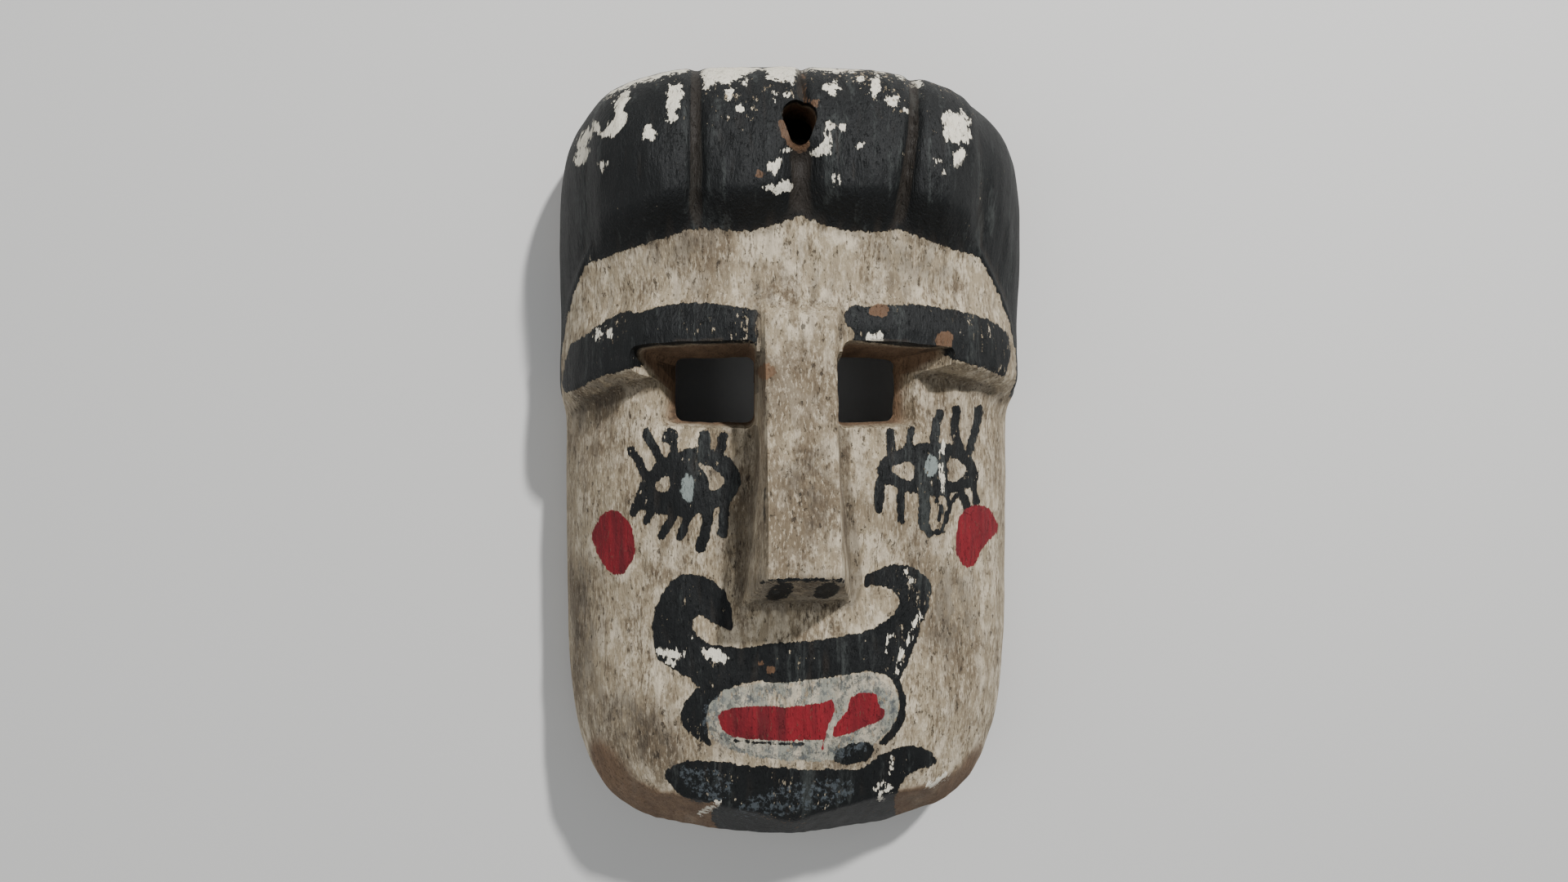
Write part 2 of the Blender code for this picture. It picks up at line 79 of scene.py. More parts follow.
def soft_least(first: Array, second: Array, softness: float) -> Array:
    """The lesser of two heights, rounded over softness where they meet."""
    share = np.clip(0.5 + 0.5 * (second - first) / softness, 0.0, 1.0)
    return mix(second, first, share) - softness * share * (1.0 - share)


def soft_most(first: Array, second: Array, softness: float) -> Array:
    """The greater of two heights, rounded over softness where they meet."""
    return -soft_least(-first, -second, softness)


def stations(y: Array, places: tuple[tuple[float, float], ...]) -> Array:
    """Ease a height between stations.

    Args:
        y: places along the face.
        places: pairs of place and height, from the chin up.

    Returns:
        The height at each y.
    """
    height = np.full_like(y, places[0][1])
    for (low_y, low), (high_y, high) in zip(places, places[1:]):
        height = np.where(y > low_y, mix(low, high, smooth_step(low_y, high_y, y)), height)
    return height


def crowded(steps: int, crowding: float = 1.6) -> Array:
    """Numbers from -1 to 1 that lie closer together towards both ends."""
    even = np.linspace(-1.0, 1.0, steps + 1)
    return np.sign(even) * (1.0 - (1.0 - np.abs(even)) ** crowding)


def wavy(x: Array, y: Array, seed: int, scale: float, count: int = 9) -> Array:
    """A smooth uneven pattern, as a sum of slanted waves.

    Args:
        x: places across.
        y: places along.
        seed: seed of the waves' directions.
        scale: length of a typical wave.
        count: number of waves.

    Returns:
        Values around zero, mostly within -1 and 1.
    """
    draw = np.random.default_rng(seed)
    total = np.zeros_like(x)
    for _ in range(count):
        turn = draw.uniform(0.0, math.tau)
        length = scale * draw.uniform(0.6, 1.7)
        phase = draw.uniform(0.0, math.tau)
        total += np.sin(math.tau * (x * math.cos(turn) + y * math.sin(turn)) / length + phase)
    return total / math.sqrt(count)


@dataclass
class Outline:
    """The closed outline of the block, or of its hollow, as seen from the front."""

    side: float = 79.5 * MM
    top: float = 125 * MM
    chin: float = 125 * MM
    left_cheek_inset: float = 1.5 * MM
    right_cheek_inset: float = 3.8 * MM
    cheek_step_y: float = 20 * MM
    cheek_step_softness: float = 7 * MM
    top_left_power: float = 3.7
    top_right_power: float = 2.8
    bottom_left_power: float = 3.5
    bottom_right_power: float = 2.9
    top_arch_power: float = 8.0
    chin_arch_power: float = 6.0
    side_rounding: float = 0.85
    end_rounding: float = 2.6
    front_rounding: float = 2.2

    def half_width(self, x: Array, y: Array) -> Array:
        """Half the width at y, on the side that x is on.

        Args:
            x: places across.
            y: places along the face.

        Returns:
            Half the width at each place.
        """
        inset = np.where(x < 0, self.left_cheek_inset, self.right_cheek_inset)
        low = self.cheek_step_y - self.cheek_step_softness
        high = self.cheek_step_y + self.cheek_step_softness
        return self.side - inset * (1.0 - smooth_step(low, high, y))

    def powers(self, x: Array, y: Array) -> tuple[Array, Array]:
        """Powers across and along, blended between the corners.

        Args:
            x: places across.
            y: places along the face.

        Returns:
            The power across and the power along.
        """
        to_top = smooth_step(-0.4 * self.chin, 0.4 * self.top, y)
        to_right = smooth_step(-0.4 * self.side, 0.4 * self.side, x)
        top_power = mix(self.top_left_power, self.top_right_power, to_right)
        bottom_power = mix(self.bottom_left_power, self.bottom_right_power, to_right)
        across = mix(bottom_power, top_power, to_top)
        return across, mix(self.chin_arch_power, self.top_arch_power, to_top)

    def fullness(self, x: Array, y: Array) -> Array:
        """1 in the middle, falling to 0 at the outline as a rounded block does.

        Args:
            x: places across.
            y: places along the face.

        Returns:
            Shares from 0 to 1.
        """
        across, along = self.powers(x, y)
        sideways = np.abs(x / self.half_width(x, y)) ** across
        endways = np.abs(y / np.where(y < 0, self.chin, self.top)) ** along
        reach = sideways + endways
        rounding = mix(self.side_rounding, self.end_rounding, endways / (reach + 1e-9))
        return np.clip(1.0 - reach ** rounding, 0.0, 1.0) ** (1.0 / self.front_rounding)

    def side_point(self, sign: float, share: Array) -> tuple[Array, Array]:
        """A point on the side that sign gives; share runs from -1 (chin) to 1 (top).

        Args:
            sign: -1 or 1, for which side or end.
            share: where along it, from -1 to 1.

        Returns:
            Its x and y.
        """
        chin_corner = self.chin * 0.5 ** (1 / self.chin_arch_power)
        top_corner = self.top * 0.5 ** (1 / self.top_arch_power)
        y = share * np.where(share < 0, chin_corner, top_corner)
        across, along = self.powers(sign * self.side, y)
        left_over = 1.0 - np.abs(y / np.where(y < 0, self.chin, self.top)) ** along
        return sign * self.half_width(sign, y) * left_over ** (1.0 / across), y

    def end_point(self, sign: float, share: Array) -> tuple[Array, Array]:
        """A point on the end that sign gives; share runs from -1 (left) to 1 (right).

        Args:
            sign: -1 or 1, for which side or end.
            share: where along it, from -1 to 1.

        Returns:
            Its x and y.
        """
        left_x, left_y = self.side_point(-1.0, np.array(sign))
        right_x, right_y = self.side_point(1.0, np.array(sign))
        x = mix(left_x, right_x, (share + 1.0) / 2.0)
        reach_y = self.top if sign > 0 else self.chin
        across, along = self.powers(x, sign * reach_y)
        left_over = 1.0 - np.abs(x / self.half_width(x, sign * reach_y)) ** across
        y = sign * reach_y * left_over ** (1.0 / along)
        return x, y + mix(left_y - y[0], right_y - y[-1], (share + 1.0) / 2.0)

    def grid(self, columns: int, rows: int) -> tuple[Array, Array]:
        """Points inside the outline in rows and columns that crowd towards its edge.

        Args:
            columns: steps across.
            rows: steps along.

        Returns:
            The x and the y of each point.
        """
        u = crowded(columns)
        v = crowded(rows)
        left, right = self.side_point(-1.0, v), self.side_point(1.0, v)
        low, high = self.end_point(-1.0, u), self.end_point(1.0, u)
        across = ((u + 1.0) / 2.0)[None, :]
        along = ((v + 1.0) / 2.0)[:, None]
        filled = []
        for axis in (0, 1):
            sides = mix(left[axis][:, None], right[axis][:, None], across)
            ends = mix(low[axis][None, :], high[axis][None, :], along)
            low_row = mix(low[axis][0], low[axis][-1], across)
            high_row = mix(high[axis][0], high[axis][-1], across)
            filled.append(sides + ends - mix(low_row, high_row, along))
        return filled[0], filled[1]


@dataclass
class Brow:
    """The raised band across the face whose lower edge overhangs the eye holes."""

    low_y: float = 32.5 * MM
    low_drops: tuple[float, float] = (12 * MM, 7 * MM)
    top_y: float = 46 * MM
    top_drops: tuple[float, float] = (11 * MM, 8 * MM)
    half_reach: float = 77 * MM
    low_bend: float = 2.2
    top_bend: float = 3.0
    rise: float = 4.5 * MM
    ledge: float = 4.0 * MM
    ledge_side_run: float = 7.0 * MM
    top_softness: float = 15 * MM

    def low_edge(self, x: Array) -> Array:
        """Y of the lower edge."""
        drop = np.where(x < 0, *self.low_drops)
        return self.low_y - drop * np.abs(x / self.half_reach) ** self.low_bend

    def top_edge(self, x: Array) -> Array:
        """Y of the upper edge."""
        drop = np.where(x < 0, *self.top_drops)
        return self.top_y - drop * np.abs(x / self.half_reach) ** self.top_bend

    def over_ledge(self, x: Array, y: Array) -> Array:
        """0 on the face below, 1 once over the brow's ledge."""
        ledge = self.ledge + self.ledge_side_run * (x / self.half_reach) ** 2
        return smooth_step(self.low_edge(x) - ledge, self.low_edge(x), y)

    def bump(self, x: Array, y: Array) -> Array:
        """Rise of the band over the forehead.

        Args:
            x: places across.
            y: places along the face.

        Returns:
            The rise at each place.
        """
        edge = self.top_edge(x)
        half = self.top_softness / 2
        return self.rise * (1.0 - smooth_step(edge - half, edge + half, y))


@dataclass
class Nose:
    """A wedge with a flat front and a slanted underside."""

    x: float = -0.3 * MM
    root_y: float = 43 * MM
    root_height: float = 73.5 * MM
    root_fall: float = 1.3
    tip_y: float = -31 * MM
    tip_height: float = 92 * MM
    foot_y: float = -43 * MM
    front_half: float = 10.6 * MM
    eye_half: float = 12.6 * MM
    foot_half: float = 17.5 * MM
    edge_round: float = 3.2 * MM
    eye_y: float = 11.8 * MM
    side_floor: float = 57 * MM
    under_floor: float = 62 * MM

    def height(self, x: Array, y: Array) -> Array:
        """Height of the wedge; far below the face away from it.

        Args:
            x: places across.
            y: places along the face.

        Returns:
            The height at each place.
        """
        down = np.clip((self.root_y - y) / (self.root_y - self.tip_y), 0.0, 1.0)
        ridge = mix(self.root_height, self.tip_height, down)
        foot = mix(self.eye_half, self.foot_half, smooth_step(self.eye_y, self.foot_y, y))
        slope = (ridge - self.side_floor) / (foot - self.front_half)
        side_plane = ridge - slope * (np.abs(x - self.x) - self.front_half)
        under_slope = (self.tip_height - self.under_floor) / (self.tip_y - self.foot_y)
        under_plane = self.tip_height - under_slope * (self.tip_y - y)
        height = soft_least(ridge, side_plane, self.edge_round)
        height = height - self.root_fall * np.maximum(0.0, y - self.root_y)
        return soft_least(height, under_plane, self.edge_round)


@dataclass
class Hair:
    """A cap of lobes with a scalloped lower edge, parted by grooves, and side hair."""

    line_y: float = 71.5 * MM
    line_drop: float = 17 * MM
    line_bend: float = 1.7
    scallop: float = 3.2 * MM
    outer_scallop: float = 1.0 * MM
    rise: float = 7.5 * MM
    edge_start: float = 2 * MM
    edge_run: float = 12 * MM
    temple_edge_run: float = 3 * MM
    sideburn_end_run: float = 4 * MM
    lobe_bulge: float = 3.0 * MM
    lobe_top_y: float = 96 * MM
    lobe_fade_run: float = 25 * MM
    groove_left_x: float = -30 * MM
    groove_right_x: float = 29 * MM
    groove_lean: float = 7 * MM
    groove_depth: float = 3.0 * MM
    groove_half: float = 2.1 * MM
    parting_depth: float = 4.2 * MM
    parting_half: float = 4.2 * MM
    parting_end_y: float = 93.7 * MM
    parting_fade_run: float = 8 * MM
    crack_x: float = 1.0 * MM
    crack_depth: float = 3.0 * MM
    crack_half: float = 1.5 * MM
    crack_low_y: float = 99.3 * MM
    crack_end_run: float = 3 * MM
    crack_sway: float = 0.6 * MM
    crack_sway_length: float = 3 * MM
    temple_x: tuple[float, float] = (75 * MM, 73 * MM)
    temple_lean: tuple[float, float] = (15 * MM, 20 * MM)
    temple_low_y: float = 26 * MM
    temple_top_y: float = 65 * MM
    side_sink: float = 4.0 * MM
    side_rise: float = 4.5 * MM
    side_top_y: float = 104 * MM
    side_blend: tuple[float, float] = (-2 * MM, 4 * MM)
    sideburn_end_y: float = 19 * MM
    half_reach: float = 77 * MM
    crown_y: float = 122 * MM

    def right_groove(self, y: Array) -> Array:
        """X of the groove on the right, which leans out upwards."""
        return self.groove_right_x + self.groove_lean * (y - self.line_y) / (self.crown_y - self.line_y)

    def temple_edge(self, x: Array, y: Array) -> Array:
        """How far out the face's edge lies against the side hair.

        Args:
            x: places across.
            y: places along the face.

        Returns:
            The distance from the middle.
        """
        span = self.temple_top_y - self.temple_low_y
        rise = np.clip((y - self.temple_low_y) / span, 0.0, 1.0)
        return np.where(x < 0, *self.temple_x) - np.where(x < 0, *self.temple_lean) * rise ** 2

    def lobe_share(self, x: Array, y: Array) -> Array:
        """Share of the way across the lobe of hair that x lies in.

        Args:
            x: places across.
            y: places along the face.

        Returns:
            Shares from 0 to 1.
        """
        left = self.groove_left_x
        right = self.right_groove(y)
        edge = self.temple_edge(x, y)
        share = np.where(x < left, (left - x) / (edge + left), x / left)
        share = np.where(x > 0, x / right, share)
        share = np.where(x > right, (x - right) / (edge - right), share)
        return np.clip(share, 0.0, 1.0)

    def line(self, x: Array) -> Array:
        """Y of the scalloped lower edge.

        Args:
            x: places across.

        Returns:
            The y at each x.
        """
        arch = self.line_drop * np.abs(x / self.half_reach) ** self.line_bend
        share = self.lobe_share(x, np.full_like(x, self.line_y))
        inner = (x > self.groove_left_x) & (x < self.groove_right_x)
        scallop = np.where(inner, self.scallop, self.outer_scallop)
        return self.line_y - arch - scallop * np.sin(np.pi * share)

    def reach(self, x: Array, y: Array) -> Array:
        """Signed distance into the hair, positive inside it."""
        beside = np.minimum(np.abs(x) - self.temple_edge(x, y), y - self.sideburn_end_y)
        return np.maximum(y - self.line(x), beside)

    def cover(self, x: Array, y: Array) -> Array:
        """1 where hair covers the block, swelling up from its lower edge and its sides.

        Args:
            x: places across.
            y: places along the face.

        Returns:
            Shares from 0 to 1.
        """
        over_line = smooth_step(-self.edge_start, self.edge_run, y - self.line(x))
        beside = smooth_step(0.0, self.temple_edge_run, np.abs(x) - self.temple_edge(x, y))
        above_end = smooth_step(0.0, self.sideburn_end_run, y - self.sideburn_end_y)
        return np.maximum(over_line, np.minimum(beside, above_end))

    def bump(self, x: Array, y: Array) -> Array:
        """Height of the hair over the block, with its lobes, parting, grooves and crack.

        Args:
            x: places across.
            y: places along the face.

        Returns:
            The rise at each place.
        """
        beside = smooth_step(*self.side_blend, np.abs(x) - self.temple_edge(x, y))
        lobe_fade = 1.0 - smooth_step(self.lobe_top_y - self.lobe_fade_run, self.lobe_top_y, y)
        share = self.lobe_share(x, y)
        front = self.rise + self.lobe_bulge * (4 * share * (1 - share) - 0.5) * lobe_fade
        parting = np.exp(-(x / self.parting_half) ** 2)
        fade_start = self.parting_end_y - self.parting_fade_run
        parting_fade = 1.0 - smooth_step(fade_start, self.parting_end_y, y)
        front = front - self.parting_depth * parting * parting_fade
        for groove_x in (self.groove_left_x, self.right_groove(y)):
            front = front - self.groove_depth * np.exp(-((x - groove_x) / self.groove_half) ** 2)
        crack_x = self.crack_x + self.crack_sway * np.sin(y / self.crack_sway_length)
        crack = np.exp(-((x - crack_x) / self.crack_half) ** 2)
        crack = crack * smooth_step(self.crack_low_y, self.crack_low_y + self.crack_end_run, y)
        front = front - self.crack_depth * crack
        side_share = smooth_step(self.temple_low_y, self.side_top_y, y)
        return mix(front, mix(-self.side_sink, self.side_rise, side_share), beside)


@dataclass
class Jaw:
    """Flat cuts that bevel the jaw."""

    directions: tuple[int, ...] = (-152, -127, -104, -76, -53, -30)
    edge_height: float = 25 * MM
    slope: float = 1.5
    softness: float = 1.2 * MM
    above_all: float = 1.0

    def height(self, x: Array, y: Array, outline: Outline) -> Array:
        """Height that the cuts leave.

        Args:
            x: places across.
            y: places along the face.
            outline: the block's outline.

        Returns:
            The height at each place.
        """
        angle = np.linspace(-np.pi, 0.0, 181)
        power = np.where(np.cos(angle) < 0, outline.bottom_left_power, outline.bottom_right_power)
        reach_y = -outline.chin * np.abs(np.sin(angle)) ** (2 / outline.chin_arch_power)
        reach_x = np.abs(np.cos(angle)) ** (2 / power) * np.sign(np.cos(angle))
        reach_x = reach_x * outline.half_width(np.cos(angle), reach_y)
        height = np.full_like(x, self.above_all)
        for degrees in self.directions:
            along_x = math.cos(math.radians(degrees))
            along_y = math.sin(math.radians(degrees))
            edge = np.max(reach_x * along_x + reach_y * along_y)
            inward = edge - (x * along_x + y * along_y)
            height = soft_least(height, self.edge_height + self.slope * inward, self.softness)
        return height


@dataclass
class Front:
    """The carved front: block, brow, nose, hair and jaw, with the knife's marks on it."""

    outline: Outline = field(default_factory=Outline)
    brow: Brow = field(default_factory=Brow)
    nose: Nose = field(default_factory=Nose)
    hair: Hair = field(default_factory=Hair)
    jaw: Jaw = field(default_factory=Jaw)
    lower_stations: tuple[tuple[float, float], ...] = (
        (-104 * MM, 60 * MM), (-72 * MM, 63 * MM),
        (-12 * MM, 62 * MM), (24 * MM, 57 * MM),
    )
    upper_stations: tuple[tuple[float, float], ...] = (
        (58 * MM, 68.5 * MM), (84 * MM, 69 * MM), (122 * MM, 61 * MM),
    )
    knife_depth: float = 0.35 * MM
    knife_fade_share: float = 0.4
    hair_fade_share: float = 0.35

    def height(self, x: Array, y: Array) -> Array:
        """Height of the front above the rim.

        Args:
            x: places across.
            y: places along the face.

        Returns:
            The height at each place.
        """
        full = self.outline.fullness(x, y)
        jaw = self.jaw.height(x, y, self.outline)
        x, y = x - FACE_X, y - FACE_Y
        upper = stations(y, self.upper_stations) + self.brow.bump(x, y)
        lower = stations(y, self.lower_stations)
        block = mix(lower, upper, self.brow.over_ledge(x, y)) * full
        height = soft_most(block, self.nose.height(x, y), self.nose.edge_round)
        hair = self.hair.bump(x, y) * self.hair.cover(x, y)
        height = height + hair * smooth_step(0.0, self.hair_fade_share, full)
        height = soft_least(height, jaw, self.jaw.softness)
        return height + self.knife_marks(x, y) * smooth_step(0.0, self.knife_fade_share, full)

    def knife_marks(self, x: Array, y: Array) -> Array:
        """Shallow uneven flats and strokes that the knife left.

        Args:
            x: places across.
            y: places along the face.

        Returns:
            The rise at each place.
        """
        broad = wavy(x, y, 3, 26 * MM) * 1.1
        strokes = wavy(x, y * 0.35, 8, 5 * MM) * 0.45
        fine = wavy(x, y * 0.2, 14, 2.2 * MM) * 0.16
        return self.knife_depth * (broad + strokes + fine)


@dataclass
class HollowBack:
    """The hollow behind the face."""

    outline: Outline = field(default_factory=lambda: Outline(side=70 * MM, top=111.5 * MM, chin=112.5 * MM))
    depth: float = 50 * MM
    hair_depth: float = 58 * MM
    low_y: float = 32.5 * MM
    high_y: float = 84 * MM
    gouge: float = 0.5 * MM

    def height(self, x: Array, y: Array) -> Array:
        """Height of the hollow's roof above the rim.

        Args:
            x: places across.
            y: places along the face.

        Returns:
            The height at each place.
        """
        full = self.outline.fullness(x, y)
        roof = mix(self.depth, self.hair_depth, smooth_step(self.low_y, self.high_y, y - FACE_Y)) * full
        return roof + self.gouge * wavy(x, y * 0.6, 21, 9 * MM) * smooth_step(0.0, 0.5, full)


@dataclass
class EyeHole:
    """One eye hole, splayed outwards to the front."""

    sign: float
    inner: float = 12.6 * MM
    width: float = 24.0 * MM
    splay: float = 8.5 * MM
    nose_x: float = -0.3 * MM
    low_y: float = 11.8 * MM
    top_y: float = 30.4 * MM
    sill_fall: float = 2.0 * MM
    head_rise: float = 2.2 * MM
    corner: float = 2.5 * MM
    back_z: float = 46 * MM
    front_z: float = 58 * MM
    cut_z: tuple[float, float] = (20 * MM, 84 * MM)

    def loops(self) -> list[list[tuple[float, float, float]]]:
        """Rounded outlines of the cut, from behind to the front.

        Returns:
            The loops of points, the backmost first.
        """
        loops = []
        for z in (self.cut_z[0], self.back_z, self.cut_z[1]):
            forward = max(0.0, (z - self.back_z) / (self.front_z - self.back_z))
            outer = self.inner + self.width + self.splay * forward
            ends = sorted((self.nose_x + self.sign * self.inner, self.nose_x + self.sign * outer))
            low = self.low_y - self.sill_fall * forward
            high = self.top_y + self.head_rise * forward
            loops.append(self.rounded(ends[0], ends[1], low, high, z))
        return loops

    def rounded(self, left: float, right: float, low: float, high: float,
                z: float) -> list[tuple[float, float, float]]:
        """A rectangle with round corners at height z, anticlockwise.

        Args:
            left: X of its left side.
            right: X of its right side.
            low: its lower end.
            high: its upper end.
            z: its height.

        Returns:
            The points of the loop.
        """
        steps = 6
        loop = []
        for x, y, start in ((left, low, 180), (right, low, 270), (right, high, 0), (left, high, 90)):
            centre_x = x + math.copysign(self.corner, (left + right) / 2 - x)
            centre_y = y + math.copysign(self.corner, (low + high) / 2 - y)
            for step in range(steps + 1):
                turn = math.radians(start + 90 * step / steps)
                across = centre_x + self.corner * math.cos(turn)
                loop.append((across, centre_y + self.corner * math.sin(turn), z))
        return loop


@dataclass
class CordHole:
    """The hole for hanging, worn to a drop shape by its cord."""

    x: float = -0.4 * MM
    y: float = 99.3 * MM
    radius: float = 4.9 * MM
    wear_drop: float = 5.6 * MM
    wear_radius: float = 3.0 * MM
    cut_z: tuple[float, float] = (20 * MM, 90 * MM)
    steps: int = 20

    def loops(self) -> list[list[tuple[float, float, float]]]:
        """Drop-shaped outlines of the cut, from behind to the front.

        Returns:
            The loops of points, the backmost first.
        """
        loops = []
        for z in self.cut_z:
            loop = []
            for step in range(self.steps + 1):
                turn = math.radians(-15 + 210 * step / self.steps)
                across = self.x + self.radius * math.cos(turn)
                loop.append((across, self.y + self.radius * math.sin(turn), z))
            for step in range(self.steps // 2 + 1):
                turn = math.radians(195 + 300 * step / self.steps)
                across = self.x + self.wear_radius * math.cos(turn)
                loop.append((across, self.y - self.wear_drop + self.wear_radius * math.sin(turn), z))
            loops.append(loop)
        return loops


@dataclass(frozen=True)
class PhotoView:
    """The photograph's camera, and where a point of the mask falls in its frame."""

    middle: tuple[float, float] = (960.0, 540.0)
    focal_px: float = 1304.0
    turn_deg: float = 3.5
    lift_deg: float = 2.5
    distance: float = 350 * MM
    aim: tuple[float, float, float] = (-2.3 * MM + FACE_X, 4.5 * MM + FACE_Y, 30 * MM)

    def axes(self) -> tuple[Array, Array, Array]:
        """The camera's right, up and backward directions.

        Returns:
            Three directions of length 1.
        """
        turn, lift = math.radians(self.turn_deg), math.radians(self.lift_deg)
        flat = math.cos(lift)
        back = np.array([-math.sin(turn) * flat, math.sin(lift), math.cos(turn) * flat])
        right = np.cross(np.array([0.0, 1.0, 0.0]), back)
        right /= np.linalg.norm(right)
        return right, np.cross(back, right), back

    def place(self) -> Array:
        """Where the camera stands."""
        return np.array(self.aim) + self.axes()[2] * self.distance

    def picture(self, points: Array) -> tuple[Array, Array]:
        """Picture coordinates of points of the mask.

        Args:
            points: places on the mask, one row each.

        Returns:
            The place across and the place down of each point.
        """
        right, up, back = self.axes()
        offset = points - self.place()
        depth = -(offset @ back)
        across = self.middle[0] + self.focal_px * (offset @ right) / depth
        return across, self.middle[1] - self.focal_px * (offset @ up) / depth

    def camera(self) -> bpy.types.Object:
        """Make the camera, looking down on the lying mask.

        Returns:
            The camera.
        """
        data = bpy.data.cameras.new("camera")
        data.sensor_width = 36.0
        data.lens = self.focal_px / (2 * self.middle[0]) * data.sensor_width
        data.dof.use_dof = False
        data.clip_start = 0.01
        built = bpy.data.objects.new("camera", data)
        right, up, back = (Vector(axis) for axis in self.axes())
        turn = Matrix((right, up, back)).transposed().to_4x4()
        built.matrix_world = Matrix.Translation(Vector(self.place())) @ turn
        bpy.context.scene.collection.objects.link(built)
        bpy.context.scene.camera = built
        return built


FAR_PX = 14.0
MM_PER_PX = 0.245


@dataclass(frozen=True)
class Patch:
    """A painted or bare area inside a closed outline in picture coordinates."""

    points: tuple[tuple[float, float], ...]
    rounds: int = 2

    def outline(self) -> Array:
        """The outline with its corners cut round.

        Returns:
            The points of the outline.
        """
        points = np.array(self.points, float)
        for _ in range(self.rounds):
            after = np.roll(points, -1, axis=0)
            points = np.stack([mix(points, after, 0.25), mix(points, after, 0.75)], 1).reshape(-1, 2)
        return points

    def reach(self, across: Array, down: Array) -> Array:
        """Signed distance into the patch in picture units, positive inside.

        Args:
            across: picture places across.
            down: picture places down.

        Returns:
            The distance at each place.
        """
        points = self.outline()
        result = np.full(across.shape, -FAR_PX)
        low, high = points.min(0) - FAR_PX, points.max(0) + FAR_PX
        near = (across > low[0]) & (across < high[0]) & (down > low[1]) & (down < high[1])
        u, v = across[near], down[near]
        nearest = np.full(u.shape, np.inf)
        inside = np.zeros(u.shape, bool)
        for (x0, y0), (x1, y1) in zip(points, np.roll(points, -1, axis=0)):
            dx, dy = x1 - x0, y1 - y0
            share = np.clip(((u - x0) * dx + (v - y0) * dy) / max(dx * dx + dy * dy, 1e-9), 0.0, 1.0)
            nearest = np.minimum(nearest, (u - x0 - share * dx) ** 2 + (v - y0 - share * dy) ** 2)
            if dy:
                crosses = (y0 > v) != (y1 > v)
                inside ^= crosses & (u < x0 + dx * (v - y0) / dy)
        result[near] = np.where(inside, 1.0, -1.0) * np.sqrt(nearest)
        return np.clip(result, -FAR_PX, FAR_PX)


@dataclass(frozen=True)
class Stroke:
    """A brush stroke along points in picture coordinates."""

    points: tuple[tuple[float, float], ...]
    width: float

    def reach(self, across: Array, down: Array) -> Array:
        """Signed distance into the stroke in picture units, positive inside.

        Args:
            across: picture places across.
            down: picture places down.

        Returns:
            The distance at each place.
        """
        nearest = np.full(across.shape, 1e9)
        for (x0, y0), (x1, y1) in zip(self.points, self.points[1:]):
            dx, dy = x1 - x0, y1 - y0
            share = np.clip(((across - x0) * dx + (down - y0) * dy) / (dx * dx + dy * dy), 0.0, 1.0)
            gap = (across - x0 - share * dx) ** 2 + (down - y0 - share * dy) ** 2
            nearest = np.minimum(nearest, gap)
        return np.clip(self.width / 2 - np.sqrt(nearest), -FAR_PX, FAR_PX)


@dataclass(frozen=True)
class Spot:
    """An oval spot in picture coordinates."""

    x: float
    y: float
    half_width: float
    half_height: float

    def reach(self, across: Array, down: Array) -> Array:
        """Signed distance into the spot in picture units, positive inside."""
        radius = np.hypot((across - self.x) / self.half_width, (down - self.y) / self.half_height)
        return np.clip((1.0 - radius) * min(self.half_width, self.half_height), -FAR_PX, FAR_PX)


Shape = Patch | Stroke | Spot


class Layer(Enum):
    """Layers of paint and wear, with dirt and painted shade among them, each kept on the mesh as a signed
    distance in millimetres.
    """

    BLACK = "black_paint"
    HAIR = "hair_paint"
    RED = "red_paint"
    PALE = "pale_paint"
    WHITES = "eye_whites"
    # Dirt, and painted shade under the brow and nose and down the left side
    DIRT_AND_SHADE = "dirt_and_shade_patches"
    SHINE = "eye_shine"
    # Cracks, and painted shade lines in the hair's grooves
    CRACK_AND_GROOVE_SHADE = "crack_and_groove_shade"
    WORN = "worn_white"
    BROWN = "bare_brown"
    FROST = "grey_frost"


